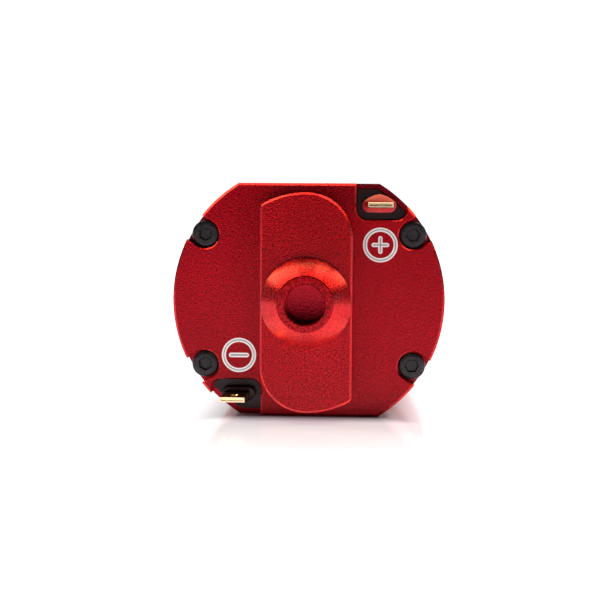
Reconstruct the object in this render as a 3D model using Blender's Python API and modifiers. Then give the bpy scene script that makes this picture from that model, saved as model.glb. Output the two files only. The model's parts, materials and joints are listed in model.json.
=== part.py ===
"""A sealed brushless outrunner motor with its driver inside, 73 mm long, for a drop-in motor bay.

The shaft lies along Y. The rear cap with its two terminals faces -Y and the pinion points to +Y.
Every piece is drawn in millimetres in the frame of the empty MOTOR_FRAME: x to the right and y up
as seen from behind the motor, and z towards the rear. The empty turns and scales that frame into
the world, in metres with +Z up. A station is a z of that frame, and the middle of the motor is 0.
"""

import math

import bmesh
import bpy
from mathutils import Matrix, Vector

# ---------------------------------------------------------------- driving dimensions, millimetres
FIT = 0.05                      # gap left between two pieces that touch
BEYOND = 1.0                    # how far a cutter runs past the face that it opens

BODY_RADIUS = 14.0              # round sides of the housing and of the rear cap
FLAT_HALF = 12.0                # from the axis to each of the two flats

# stations along the shaft, from the rear to the front
BOSS_TOP = 36.5
BAR_TOP = 34.3
BLADE_TIP = 34.1
CAP_FACE = 29.7
COLLAR_TOP = 29.5
CARRIER_PAD = 28.5              # top of the carrier's pads, inside the cap's pockets
CAP_SEAT = 27.8                 # floor of the pockets and of the screw notches
RECESS_TOP, FOOT_ROOM_TOP = 27.5, 27.35     # tops of the hollows under the cap
CAP_JOINT = 25.7                # where the cap meets the housing
CONTROL_REAR, CONTROL_FRONT = 22.4, 21.6
POWER_REAR, POWER_FRONT = 17.6, 16.6
BASE_REAR, BASE_FRONT = 14.5, 12.05
BASE_SHOULDER = 12.0            # step in the housing's bore that stops the stator base
STACK_REAR, STACK_FRONT = 9.5, -3.7
BELL_REAR, BELL_FRONT = 10.8, -7.4
HUB_FRONT = -9.4
COLLAR_FRONT = -12.7            # end of the hub's collar, which holds its set screw
WALL_INNER, HOUSING_FRONT = -13.3, -16.8
NECK_END = -19.6
SHAFT_REAR, SHAFT_TIP = 15.6, -36.5

# rear cap
EDGE = 0.25                     # chamfer on the outer edges
BAR_HALF, BAR_REACH = 4.6, 11.0  # half its width and half its length
BAR_END_RADIUS, BAR_CORNER = 9.0, 0.6
BOSS_BASE_RADIUS, BOSS_TOP_RADIUS, BOSS_STEP = 4.55, 2.8, 0.25
THRUST_HOLE_RADIUS, THRUST_HOLE_DEPTH, THRUST_HOLE_EDGE = 1.95, 3.6, 0.15
POCKET_LEFT, POCKET_RIGHT, POCKET_LOW, POCKET_CORNER = 4.85, 10.05, 8.25, 1.1
POCKET_RIM = 0.5                # wall left standing outside each pocket
RECESS_RADIUS = 10.6            # recess under the cap that holds the terminal carrier
SCREW_CIRCLE, SCREW_ANGLE = 12.64, 32.2
NOTCH_RADIUS = 1.48

# cap screws, M1.6
HEAD_RADIUS, HEAD_HEIGHT, HEAD_EDGE, SOCKET_FLATS, SOCKET_DEPTH = 1.38, 1.25, 0.3, 1.3, 0.7
SHANK_RADIUS, SHANK_END, SHANK_POINT, SHANK_PLAY = 0.78, 20.5, 0.3, 0.17

# terminals: blades 2.5 mm wide and 0.5 mm thick, for push-on receptacles
BLADE_X, BLADE_Y = 7.35, 9.8
BLADE_WIDTH, BLADE_THICK = 2.5, 0.5
BLADE_HOLE_RADIUS, BLADE_HOLE_STATION = 0.5, 32.3
STRIP_WIDTH, TAIL_Y = 1.4, 6.4  # the strip that carries each blade down to the power board
FOOT_LOW, FOOT_TOP = 26.45, 26.95
FOOT_ROOM = (5.0, 5.9, 8.9, 9.0)     # room for it under the cap: left, low, right, high
COLLAR_X, COLLAR_Y = 7.2, 9.85
COLLAR_HALF, COLLAR_FLAT, COLLAR_PEAK = 1.74, 0.82, 1.07

# housing
REAR_BORE, FRONT_BORE = 11.2, 10.8
NECK_RADIUS, NECK_MOUTH = 5.9, 3.7
BEARING_SEAT_END = -18.7
RING_GROOVE = (-13.45, -14.15, 0.45)    # groove of the bearing's retaining ring: ends and depth
FIN_DEPTH, FIN_WIDTH, FIN_SPREAD = 0.6, 0.85, 54.0
FIN_FIRST, FIN_PITCH, FIN_COUNT = 17.6, 1.7, 5      # the first is the nearest to the cap
WINDOW_ENDS, WINDOW_HALF, WINDOW_SPREAD = (6.0, -5.0), 1.3, 22.0
VENT_RADIUS, VENT_HALF, VENT_SPAN = 8.3, 1.0, 40.0
TAPPED_HOLE_RADIUS, TAPPED_HOLE_X = 1.05, 8.0

# stator
SLOTS = 9
TUBE_RADIUS, TUBE_BORE, TUBE_FRONT = 4.3, 2.4, -4.6
YOKE_RADIUS, STATOR_RADIUS, TOOTH_HALF, TIP_DEPTH = 5.35, 8.0, 0.95, 0.45
LINER = 0.4                     # thickness of each end insulator
COIL_INNER, COIL_OUTER, COIL_SIDE, COIL_HEAD = 5.5, 7.0, 0.8, 1.3
LEAD_CIRCLE, LEAD_RADIUS, LEAD_ANGLES = 7.55, 0.5, (90, 210, 330)

# rotor
POLES = 6
SHAFT_RADIUS, SHAFT_FLAT, SHAFT_END = 1.5875, 1.2, 0.3
SHAFT_GROOVE = (15.0, 14.5, 1.25)       # groove of the shaft's clip: ends and radius
BELL_RADIUS, BELL_BORE = 10.3, 9.5
MAGNET_INNER, MAGNET_OUTER, MAGNET_SPAN = 8.3, 9.42, 54.0
MAGNET_REAR, MAGNET_FRONT = 10.2, -4.4
TEETH, TOOTH_TIP, TOOTH_PITCH, TOOTH_ROOT = 10, 4.7, 4.0, 3.0
PINION_COLLAR, PINION_REAR, TEETH_REAR, PINION_FRONT = 3.6, -24.8, -28.0, -35.9

# ball bearings: outer radius, rear station, width, ball radius, pitch radius, balls, and lands
FRONT_BEARING = dict(outer=4.7625, rear=-14.2, width=3.97, ball=0.79, pitch=3.175, balls=7,
                     land_outer=3.75, land_inner=2.6)
REAR_BEARING = dict(outer=3.165, rear=14.48, width=2.78, ball=0.5, pitch=2.4, balls=8,
                    land_outer=2.72, land_inner=2.08)

# sides of the round pieces
COARSE, MEDIUM, FINE = 12, 24, 32

# ---------------------------------------------------------------- materials
FINISHES = {                    # colour, roughness, metallic
    "red_anodised": ((0.42, 0.008, 0.016), 0.38, 0.9),
    "black_oxide_steel": ((0.012, 0.012, 0.014), 0.42, 0.7),
    "gold_plate": ((0.83, 0.62, 0.30), 0.25, 1.0),
    "black_plastic": ((0.014, 0.012, 0.013), 0.35, 0.0),
    "red_plastic": ((0.55, 0.02, 0.02), 0.35, 0.0),
    "circuit_board": ((0.01, 0.045, 0.02), 0.45, 0.0),
    "chip_resin": ((0.02, 0.02, 0.022), 0.6, 0.0),
    "capacitor_body": ((0.42, 0.27, 0.1), 0.5, 0.0),
    "lead_insulation": ((0.02, 0.02, 0.02), 0.5, 0.0),
    "aluminium": ((0.62, 0.63, 0.64), 0.35, 1.0),
    "electrical_steel": ((0.23, 0.23, 0.24), 0.45, 0.9),
    "end_insulator": ((0.03, 0.12, 0.06), 0.5, 0.0),
    "enamelled_copper": ((0.62, 0.22, 0.07), 0.3, 0.9),
    "plated_steel": ((0.45, 0.45, 0.46), 0.3, 1.0),
    "hardened_steel": ((0.55, 0.55, 0.56), 0.22, 1.0),
    "magnet_plating": ((0.36, 0.36, 0.38), 0.3, 1.0),
}


def make_materials():
    made = {}
    for name, (colour, roughness, metallic) in FINISHES.items():
        material = bpy.data.materials.new(name)
        material.use_nodes = True
        shader = material.node_tree.nodes["Principled BSDF"]
        shader.inputs["Base Color"].default_value = (*colour, 1)
        shader.inputs["Roughness"].default_value = roughness
        shader.inputs["Metallic"].default_value = metallic
        made[name] = material
    return made


# ---------------------------------------------------------------- scene
def clear_scene():
    for obj in list(bpy.data.objects):
        bpy.data.objects.remove(obj)


def make_collection(name):
    collection = bpy.data.collections.new(name)
    bpy.context.scene.collection.children.link(collection)
    return collection


def make_empty(name, parent=None):
    empty = bpy.data.objects.new(name, None)
    PARTS.objects.link(empty)
    empty.parent = parent
    return empty


def add(name, mesh, finish, parent):
    """A piece of the motor, as an object named for its node."""
    obj = bpy.data.objects.new(name, mesh)
    PARTS.objects.link(obj)
    obj.parent = parent
    if finish:
        obj.data.materials.append(MATERIALS[finish])
    return obj


def as_tool(obj):
    """Makes obj a shape that only cuts, joins or trims another."""
    PARTS.objects.unlink(obj)
    TOOLS.objects.link(obj)
    obj.hide_render = True
    obj.display_type = "WIRE"
    return obj


def combine(obj, tool, operation="DIFFERENCE"):
    modifier = obj.modifiers.new(f"{operation.lower()} {tool.name}", "BOOLEAN")
    modifier.operation = operation
    modifier.solver = "EXACT"
    modifier.object = as_tool(tool)
    return obj


def chamfer(obj, width):
    """Chamfers the square edges only, so that the facets of a round side stay as they are."""
    modifier = obj.modifiers.new("chamfer", "BEVEL")
    modifier.width = width
    modifier.limit_method = "ANGLE"
    modifier.angle_limit = math.radians(50)
    return obj


# ---------------------------------------------------------------- outlines
def arc(centre, radius, start, end, steps):
    """Points on an arc, both ends included, with its angles in degrees."""
    cx, cy = centre
    points = []
    for i in range(steps + 1):
        angle = math.radians(start + (end - start) * i / steps)
        points.append((cx + radius * math.cos(angle), cy + radius * math.sin(angle)))
    return points


def circle(centre, radius, steps):
    return arc(centre, radius, 0, 360, steps)[:-1]


def turn(points, degrees, shift=(0, 0)):
    c, s = math.cos(math.radians(degrees)), math.sin(math.radians(degrees))
    return [(x * c - y * s + shift[0], x * s + y * c + shift[1]) for x, y in points]


def body_outline(inset=0.0):
    """A circle with two flats, as seen along the shaft."""
    radius, flat = BODY_RADIUS - inset, FLAT_HALF - inset
    corner = math.degrees(math.asin(flat / radius))
    right = arc((0, 0), radius, -corner, corner, 14)
    return right + turn(right, 180)


def bar_outline():
    """The raised bar. Each end is rounded by half the bar's width on the side of a terminal, and
    sweeps in a flatter arc to a tight corner on the other side."""
    end_y = BAR_REACH - BAR_END_RADIUS
    tight_x = BAR_CORNER - BAR_HALF
    tight_y = end_y + math.sqrt((BAR_END_RADIUS - BAR_CORNER) ** 2 - tight_x**2)
    tight_angle = math.degrees(math.atan2(tight_y - end_y, tight_x))
    upper = arc((0, BAR_REACH - BAR_HALF), BAR_HALF, 0, 90, 8)
    upper += arc((0, end_y), BAR_END_RADIUS, 90, tight_angle, 4)[1:]
    upper += arc((tight_x, tight_y), BAR_CORNER, tight_angle, 180, 3)[1:]
    return upper + turn(upper, 180)


def pocket_outline(clearance=0.0):
    """The terminal pocket at the upper right, open at the top, where the cap's edge closes it."""
    left, right = POCKET_LEFT + clearance, POCKET_RIGHT - clearance
    low, corner = POCKET_LOW + clearance, POCKET_CORNER - clearance
    top = BODY_RADIUS + BEYOND
    points = arc((left + corner, low + corner), corner, 180, 270, 4)
    points += arc((right - corner, low + corner), corner, 270, 360, 4)
    return points + [(right, top), (left, top)]


def collar_outline():
    """The insulating collar round a blade: flat towards the shaft and arched towards the rim."""
    corner, fullness = 0.7, 4 / 3
    points = arc((corner - COLLAR_HALF, corner - COLLAR_FLAT), corner, 180, 270, 4)
    points += arc((COLLAR_HALF - corner, corner - COLLAR_FLAT), corner, 270, 360, 4)
    for i in range(13):
        c, s = math.cos(math.pi * i / 12), math.sin(math.pi * i / 12)
        reach = COLLAR_HALF * math.copysign(abs(c) ** fullness, c)
        points.append((reach, COLLAR_PEAK * s**fullness))
    return points


def notch_outline():
    """A screw's notch: round towards the shaft and open at the rim."""
    mouth = BODY_RADIUS - SCREW_CIRCLE + BEYOND
    return arc((0, 0), NOTCH_RADIUS, 90, 270, 10) + [(mouth, -NOTCH_RADIUS), (mouth, NOTCH_RADIUS)]


def stator_outline(tooth_half, tip_radius, tip_depth):
    """The star of teeth, each widening into a tip that nearly meets the next."""
    step = 360 / SLOTS
    tip_half = step / 2 - 3.4
    neck_radius = tip_radius - 2 * tip_depth
    neck = math.degrees(math.asin(tooth_half / neck_radius))
    root = math.degrees(math.asin(tooth_half / YOKE_RADIUS))
    points = []
    for i in range(SLOTS):
        middle = i * step
        points += arc((0, 0), YOKE_RADIUS, middle - step / 2, middle - root, 1)
        points += arc((0, 0), neck_radius, middle - neck, middle - neck, 1)[:1]
        points += arc((0, 0), tip_radius - tip_depth, middle - tip_half, middle - tip_half, 1)[:1]
        points += arc((0, 0), tip_radius, middle - tip_half, middle + tip_half, 3)
        points += arc((0, 0), tip_radius - tip_depth, middle + tip_half, middle + tip_half, 1)[:1]
        points += arc((0, 0), neck_radius, middle + neck, middle + neck, 1)[:1]
        points += arc((0, 0), YOKE_RADIUS, middle + root, middle + root, 1)[:1]
    return points


def gear_outline():
    """Spur teeth: each flank runs from the root through the pitch circle to the tip."""
    step = 360 / TEETH
    flank = [(-step / 2, TOOTH_ROOT), (-0.37 * step, TOOTH_ROOT), (-step / 4, TOOTH_PITCH),
             (-0.12 * step, TOOTH_TIP), (0.12 * step, TOOTH_TIP), (step / 4, TOOTH_PITCH),
             (0.37 * step, TOOTH_ROOT)]
    points = []
    for i in range(TEETH):
        for offset, radius in flank:
            points += arc((0, 0), radius, i * step + offset, i * step + offset, 1)[:1]
    return points


def ring_sector(inner, outer, start, end, steps):
    return arc((0, 0), outer, start, end, steps) + arc((0, 0), inner, end, start, steps)


# ---------------------------------------------------------------- solids
def weld(mesh):
    work = bmesh.new()
    work.from_mesh(mesh)
    bmesh.ops.remove_doubles(work, verts=work.verts, dist=1e-4)
    bmesh.ops.recalc_face_normals(work, faces=work.faces)
    work.to_mesh(mesh)
    work.free()


def smooth(mesh):
    mesh.shade_smooth()
    mesh.set_sharp_from_angle(angle=math.radians(35))


def prism(name, loops, low, high, finish=None, parent=None):
    """A flat outline, with any holes in it as further loops, between two stations."""
    curve = bpy.data.curves.new(name, "CURVE")
    curve.dimensions = "2D"
    curve.fill_mode = "BOTH"
    curve.extrude = (high - low) / 2
    for loop in loops:
        spline = curve.splines.new("POLY")
        spline.points.add(len(loop) - 1)
        spline.use_cyclic_u = True
        for point, (x, y) in zip(spline.points, loop):
            point.co = (x, y, 0, 1)
    drawn = bpy.data.objects.new("outline", curve)
    PARTS.objects.link(drawn)
    graph = bpy.context.evaluated_depsgraph_get()
    mesh = bpy.data.meshes.new_from_object(drawn.evaluated_get(graph))
    mesh.transform(Matrix.Translation((0, 0, (low + high) / 2)) @ drawn.matrix_world)
    bpy.data.objects.remove(drawn)
    bpy.data.curves.remove(curve)
    weld(mesh)
    smooth(mesh)
    mesh.name = name
    return add(name, mesh, finish, parent or MOTOR)


def turned(name, profile, steps, finish=None, parent=None, closed=True):
    """A turned piece. The profile holds (radius, station) points and runs down its outer side
    from the rear, then back up the bore if it is closed. An open one starts and ends at radius 0."""
    mesh = bpy.data.meshes.new(name)
    last = len(profile) if closed else len(profile) - 1
    edges = [(i, (i + 1) % len(profile)) for i in range(last)]
    mesh.from_pydata([(radius, 0, station) for radius, station in profile], edges, [])
    obj = add(name, mesh, finish, parent or MOTOR)
    screw = obj.modifiers.new("turn", "SCREW")
    screw.steps = screw.render_steps = steps
    screw.use_merge_vertices = True
    screw.merge_threshold = 0.0001
    screw.use_smooth_shade = False
    return obj


def tube(name, inner, outer, low, high, steps, finish=None, parent=None):
    profile = [(outer, high), (outer, low), (inner, low), (inner, high)]
    return turned(name, profile, steps, finish, parent)


def rods(name, centres, radius, low, high, steps):
    """Plain cylinders along the shaft, in one mesh, for cutting holes."""
    work = bmesh.new()
    for x, y in centres:
        place = Matrix.Translation((x, y, (low + high) / 2))
        bmesh.ops.create_cone(work, cap_ends=True, segments=steps, radius1=radius, radius2=radius,
                              depth=high - low, matrix=place)
    mesh = bpy.data.meshes.new(name)
    work.to_mesh(mesh)
    work.free()
    return add(name, mesh, None, MOTOR)


def radial_rod(name, angle, inner, outer, station, radius, steps, finish=None, parent=None):
    """A cylinder that points outwards from the shaft."""
    work = bmesh.new()
    bmesh.ops.create_cone(work, cap_ends=True, segments=steps, radius1=radius, radius2=radius,
                          depth=outer - inner)
    mesh = bpy.data.meshes.new(name)
    work.to_mesh(mesh)
    work.free()
    smooth(mesh)
    obj = add(name, mesh, finish, parent or MOTOR)
    middle = (inner + outer) / 2
    obj.location = (*turn([(middle, 0)], angle)[0], station)
    obj.rotation_euler = (0, math.radians(90), math.radians(angle))
    return obj


def block(name, low, high, finish=None, parent=None):
    """A box between two corners."""
    low, high = Vector(low), Vector(high)
    work = bmesh.new()
    place = Matrix.LocRotScale((low + high) / 2, None, high - low)
    bmesh.ops.create_cube(work, size=1, matrix=place)
    mesh = bpy.data.meshes.new(name)
    work.to_mesh(mesh)
    work.free()
    return add(name, mesh, finish, parent or MOTOR)


# ---------------------------------------------------------------- housing and rear cap
def screw_places():
    """The four cap screws, on both sides of each round side."""
    angles = [SCREW_ANGLE, 180 - SCREW_ANGLE, 180 + SCREW_ANGLE, 360 - SCREW_ANGLE]
    return [(angle, turn([(SCREW_CIRCLE, 0)], angle)[0]) for angle in angles]


def make_housing():
    housing = prism("housing", [body_outline()], HOUSING_FRONT, CAP_JOINT - FIT, "red_anodised")
    chamfer(housing, EDGE)
    neck = [(0, HOUSING_FRONT + BEYOND), (NECK_RADIUS, HOUSING_FRONT + BEYOND),
            (NECK_RADIUS, NECK_END + EDGE), (NECK_RADIUS - EDGE, NECK_END), (0, NECK_END)]
    combine(housing, turned("neck", neck, FINE, closed=False), "UNION")
    seat = FRONT_BEARING["outer"] + FIT
    groove_rear, groove_front, groove_depth = RING_GROOVE
    bore = [(0, CAP_JOINT + BEYOND), (REAR_BORE, CAP_JOINT + BEYOND), (REAR_BORE, BASE_SHOULDER),
            (FRONT_BORE, BASE_SHOULDER), (FRONT_BORE, WALL_INNER), (seat, WALL_INNER),
            (seat, groove_rear), (seat + groove_depth, groove_rear),
            (seat + groove_depth, groove_front), (seat, groove_front),
            (seat, BEARING_SEAT_END), (NECK_MOUTH, BEARING_SEAT_END),
            (NECK_MOUTH, NECK_END - BEYOND), (0, NECK_END - BEYOND)]
    combine(housing, turned("housing_bore", bore, FINE, closed=False))
    for i in range(FIN_COUNT):
        middle = FIN_FIRST - i * FIN_PITCH
        for side in (0, 180):
            groove = ring_sector(BODY_RADIUS - FIN_DEPTH, BODY_RADIUS + BEYOND,
                                 side - FIN_SPREAD, side + FIN_SPREAD, 8)
            combine(housing, prism(f"fin_groove_{i + 1}_{side}", [groove],
                                   middle - FIN_WIDTH / 2, middle + FIN_WIDTH / 2))
    for side in (0, 180):
        for offset in (-WINDOW_SPREAD, 0, WINDOW_SPREAD):
            combine(housing, window_cutter(side + offset))
    for angle in (45, 135, 225, 315):
        combine(housing, vent_cutter(angle))
    holes = [(TAPPED_HOLE_X, 0), (-TAPPED_HOLE_X, 0)]
    combine(housing, rods("tapped_holes", holes, TAPPED_HOLE_RADIUS, HOUSING_FRONT - BEYOND,
                          WALL_INNER + BEYOND, COARSE))
    screws = [place for _, place in screw_places()]
    combine(housing, rods("screw_holes", screws, SHANK_RADIUS + FIT, SHANK_END - 0.5,
                          CAP_JOINT + BEYOND, COARSE))


def window_cutter(angle):
    """A slot with round ends through one round side, along the shaft."""
    high, low = WINDOW_ENDS
    ends = arc((0, high - WINDOW_HALF), WINDOW_HALF, 0, 180, 5)
    ends += arc((0, low + WINDOW_HALF), WINDOW_HALF, 180, 360, 5)
    depth = BODY_RADIUS + BEYOND - FRONT_BORE
    cutter = prism(f"window_{angle:g}", [ends], -depth, depth)
    cutter.location = (*turn([(BODY_RADIUS, 0)], angle)[0], 0)
    cutter.rotation_euler = (math.radians(90), 0, math.radians(90 + angle))
    return cutter


def vent_cutter(angle):
    """A kidney-shaped vent through the front wall."""
    half = VENT_SPAN / 2
    end = math.degrees(VENT_HALF / VENT_RADIUS)
    points = arc((0, 0), VENT_RADIUS + VENT_HALF, end - half, half - end, 5)
    tip = turn([(VENT_RADIUS, 0)], half - end)[0]
    points += arc(tip, VENT_HALF, half - end, half - end + 180, 4)[1:-1]
    points += arc((0, 0), VENT_RADIUS - VENT_HALF, half - end, end - half, 5)
    tip = turn([(VENT_RADIUS, 0)], end - half)[0]
    points += arc(tip, VENT_HALF, end - half + 180, end - half + 360, 4)[1:-1]
    return prism(f"vent_{angle}", [turn(points, angle)], HOUSING_FRONT - BEYOND,
                 WALL_INNER + BEYOND)


def pocket_block(name, side, clearance, inset, low, high, finish=None):
    """The pocket's outline kept inside the cap's rim: side 0 is the positive terminal's."""
    shape = prism(name, [turn(pocket_outline(clearance), side)], low, high, finish)
    rim = prism(f"{name}_rim", [body_outline(inset)], low - BEYOND, high + BEYOND)
    return combine(shape, rim, "INTERSECT")


def foot_room(name, side, clearance, low, high):
    """The space under the cap where a terminal's strip runs inwards from its pocket."""
    left, bottom, right, top = FOOT_ROOM
    shape = block(name, (left + clearance, bottom + clearance, low),
                  (right - clearance, top - clearance, high))
    shape.rotation_euler = (0, 0, math.radians(side))
    return shape


def make_rear_cap():
    cap = prism("rear_cap", [body_outline()], CAP_JOINT, CAP_FACE, "red_anodised")
    chamfer(cap, EDGE)
    bar = prism("bar", [bar_outline()], CAP_FACE - BEYOND, BAR_TOP)
    combine(cap, chamfer(bar, EDGE / 2), "UNION")
    boss = [(0, BOSS_TOP), (BOSS_TOP_RADIUS, BOSS_TOP), (BOSS_BASE_RADIUS, BAR_TOP + BOSS_STEP),
            (BOSS_BASE_RADIUS, BAR_TOP - BEYOND), (0, BAR_TOP - BEYOND)]
    combine(cap, turned("boss", boss, FINE, closed=False), "UNION")
    combine(cap, rods("spigot", [(0, 0)], REAR_BORE - 2 * FIT, CONTROL_REAR + FIT,
                      CAP_JOINT + BEYOND, FINE), "UNION")
    combine(cap, rods("carrier_recess", [(0, 0)], RECESS_RADIUS, CONTROL_REAR - BEYOND,
                      RECESS_TOP, FINE))
    for side, sign in ((0, "positive"), (180, "negative")):
        pocket = prism(f"pocket_{sign}", [turn(pocket_outline(), side)], CAP_SEAT,
                       CAP_FACE + BEYOND)
        combine(cap, pocket)
        combine(cap, pocket_block(f"pocket_floor_{sign}", side, FIT, POCKET_RIM,
                                  CAP_JOINT - BEYOND, CAP_SEAT + BEYOND))
        combine(cap, foot_room(f"foot_room_{sign}", side, 0.0, CAP_JOINT - 1.2 * BEYOND,
                               FOOT_ROOM_TOP))
    places = screw_places()
    for angle, place in places:
        notch = prism(f"notch_{angle:g}", [turn(notch_outline(), angle, place)], CAP_SEAT,
                      CAP_FACE + BEYOND)
        combine(cap, notch)
    combine(cap, rods("cap_screw_holes", [place for _, place in places], SHANK_RADIUS + SHANK_PLAY,
                      CAP_JOINT - BEYOND, CAP_SEAT + BEYOND, COARSE))
    mouth = THRUST_HOLE_RADIUS + THRUST_HOLE_EDGE
    thrust = [(0, BOSS_TOP + BEYOND), (mouth, BOSS_TOP + BEYOND), (mouth, BOSS_TOP),
              (THRUST_HOLE_RADIUS, BOSS_TOP - THRUST_HOLE_EDGE),
              (THRUST_HOLE_RADIUS, BOSS_TOP - THRUST_HOLE_DEPTH),
              (0, BOSS_TOP - THRUST_HOLE_DEPTH)]
    combine(cap, turned("thrust_hole", thrust, MEDIUM, closed=False))


def make_cap_screws():
    head_low = CAP_SEAT + FIT
    head_top = head_low + HEAD_HEIGHT
    profile = [(0, head_top), (HEAD_RADIUS - HEAD_EDGE, head_top),
               (HEAD_RADIUS - 0.3 * HEAD_EDGE, head_top - 0.3 * HEAD_EDGE),
               (HEAD_RADIUS, head_top - HEAD_EDGE), (HEAD_RADIUS, head_low),
               (SHANK_RADIUS, head_low), (SHANK_RADIUS, SHANK_END + SHANK_POINT),
               (SHANK_RADIUS - SHANK_POINT, SHANK_END), (0, SHANK_END)]
    for number, (_, (x, y)) in enumerate(screw_places(), 1):
        screw = turned(f"cap_screw_{number}", profile, COARSE, "black_oxide_steel", closed=False)
        screw.location = (x, y, 0)
        socket = rods(f"screw_socket_{number}", [(0, 0)], SOCKET_FLATS / math.sqrt(3),
                      head_top - SOCKET_DEPTH, head_top + BEYOND, 6)
        socket.location = (x, y, 0)
        combine(screw, socket)


# ---------------------------------------------------------------- terminals
def strip_outline(gap=0.0):
    """The strip from the side: up beside the pad, inwards under the cap and down to the board."""
    thin = BLADE_THICK / 2 + gap
    end, low, high, top = POWER_FRONT - 0.3, FOOT_LOW - gap, FOOT_TOP + gap, CARRIER_PAD + 0.2
    outer, inner = BLADE_Y, TAIL_Y
    return [(inner - thin, end), (inner + thin, end), (inner + thin, low), (outer + thin, low),
            (outer + thin, top), (outer - thin, top), (outer - thin, high), (inner - thin, high)]


def make_strip(name, side, gap=0.0):
    left = BLADE_X - BLADE_WIDTH / 2
    strip = prism(name, [strip_outline(gap)], left - gap, left + STRIP_WIDTH + gap)
    to_side = Matrix(((0, 0, 1, 0), (1, 0, 0, 0), (0, 1, 0, 0), (0, 0, 0, 1)))
    strip.data.transform(to_side)
    strip.rotation_euler = (0, 0, math.radians(side))
    return strip


def make_terminals():
    half, thin = BLADE_WIDTH / 2, BLADE_THICK / 2
    for side, sign in ((0, "positive"), (180, "negative")):
        blade = block(f"terminal_{sign}", (BLADE_X - half, BLADE_Y - thin, CARRIER_PAD + FIT),
                      (BLADE_X + half, BLADE_Y + thin, BLADE_TIP), "gold_plate")
        blade.rotation_euler = (0, 0, math.radians(side))
        chamfer(blade, 0.1)
        combine(blade, make_strip(f"terminal_strip_{sign}", side), "UNION")
        hole = rods(f"blade_hole_{sign}", [(0, 0)], BLADE_HOLE_RADIUS, -BEYOND, BEYOND, COARSE)
        hole.location = (*turn([(BLADE_X, BLADE_Y)], side)[0], BLADE_HOLE_STATION)
        hole.rotation_euler = (math.radians(90), 0, 0)
        combine(blade, hole)

        slot_half, slot_thin = half + FIT, thin + FIT
        slot = [(BLADE_X - slot_half, BLADE_Y - slot_thin), (BLADE_X + slot_half, BLADE_Y - slot_thin),
                (BLADE_X + slot_half, BLADE_Y + slot_thin), (BLADE_X - slot_half, BLADE_Y + slot_thin)]
        outline = turn(collar_outline(), 0, (COLLAR_X, COLLAR_Y))
        finish = "red_plastic" if sign == "positive" else "black_plastic"
        prism(f"terminal_collar_{sign}", [turn(outline, side), turn(slot, side)],
              CARRIER_PAD + FIT, COLLAR_TOP, finish)


def make_carrier():
    """The moulded ring under the cap that insulates both terminals, with a pad in each pocket."""
    low = CAP_JOINT + FIT
    carrier = tube("terminal_carrier", 5.2, RECESS_RADIUS - 2 * FIT, low, RECESS_TOP - FIT, FINE,
                   "black_plastic")
    for side, sign in ((0, "positive"), (180, "negative")):
        pad = pocket_block(f"carrier_pad_{sign}", side, 2 * FIT, POCKET_RIM + 2 * FIT, low,
                           CARRIER_PAD)
        combine(carrier, pad, "UNION")
        combine(carrier, foot_room(f"foot_cover_{sign}", side, 2 * FIT, low + FIT,
                                   FOOT_ROOM_TOP - FIT), "UNION")
        combine(carrier, make_strip(f"strip_cavity_{sign}", side, FIT))


# ---------------------------------------------------------------- electronics
def make_boards():
    """The control board and the power board, clamped at their edges."""
    radius = REAR_BORE - 2 * FIT
    boards = {"control_board": (CONTROL_FRONT, CONTROL_REAR, 0.35, 2.0),
              "power_board": (POWER_FRONT, POWER_REAR, FIT, 3.0)}
    for name, (low, high, room, centre_hole) in boards.items():
        loops = [circle((0, 0), radius, FINE), circle((0, 0), centre_hole, MEDIUM)]
        for side in (0, 180):
            left = BLADE_X - BLADE_WIDTH / 2 - room
            right = left + STRIP_WIDTH + 2 * room
            thin = BLADE_THICK / 2 + room
            slot = [(left, TAIL_Y - thin), (right, TAIL_Y - thin), (right, TAIL_Y + thin),
                    (left, TAIL_Y + thin)]
            loops.append(turn(slot, side))
        prism(name, loops, low, high, "circuit_board")
    tube("board_spacer", 10.3, radius, POWER_REAR + FIT, CONTROL_FRONT - FIT, FINE,
         "black_plastic")


def make_components():
    """The power transistors, the capacitors, the controller and the link between the boards."""
    on_power = POWER_REAR + FIT
    for number, angle in enumerate((90, 210, 330), 1):
        chip = block(f"power_transistor_{number}", (4.3, -2.5, on_power),
                     (8.0, 2.5, on_power + 1.1), "chip_resin")
        chip.rotation_euler = (0, 0, math.radians(angle))
        chamfer(chip, 0.12)
    for number, angle in enumerate((150, 270), 1):
        capacitor = block(f"bus_capacitor_{number}", (6.8, -1.6, on_power),
                          (9.0, 1.6, on_power + 2.6), "capacitor_body")
        capacitor.rotation_euler = (0, 0, math.radians(angle))
        chamfer(capacitor, 0.2)
    block("board_link", (8.6, -2.0, on_power), (9.8, 2.0, CONTROL_FRONT - FIT), "black_plastic")
    on_control = CONTROL_REAR + FIT
    chip = block("controller_chip", (-2.2, 3.0, on_control), (2.2, 7.4, on_control + 0.8),
                 "chip_resin")
    chamfer(chip, 0.1)


def make_leads():
    """Three leads from the windings, through the stator base, to the power board."""
    route = [(7.45, 11.5), (7.5, 12.1), (7.6, 12.8), (7.6, 13.8), (7.55, 14.8), (7.4, 15.8),
             (7.3, POWER_FRONT - FIT)]
    for number, angle in enumerate(LEAD_ANGLES, 1):
        curve = bpy.data.curves.new(f"phase_lead_{number}", "CURVE")
        curve.dimensions = "3D"
        curve.bevel_depth = LEAD_RADIUS
        curve.bevel_resolution = 2
        curve.use_fill_caps = True
        spline = curve.splines.new("POLY")
        spline.points.add(len(route) - 1)
        for point, (radius, station) in zip(spline.points, route):
            point.co = (radius, 0, station, 1)
        lead = add(curve.name, curve, "lead_insulation", MOTOR)
        lead.rotation_euler = (0, 0, math.radians(angle))


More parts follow.
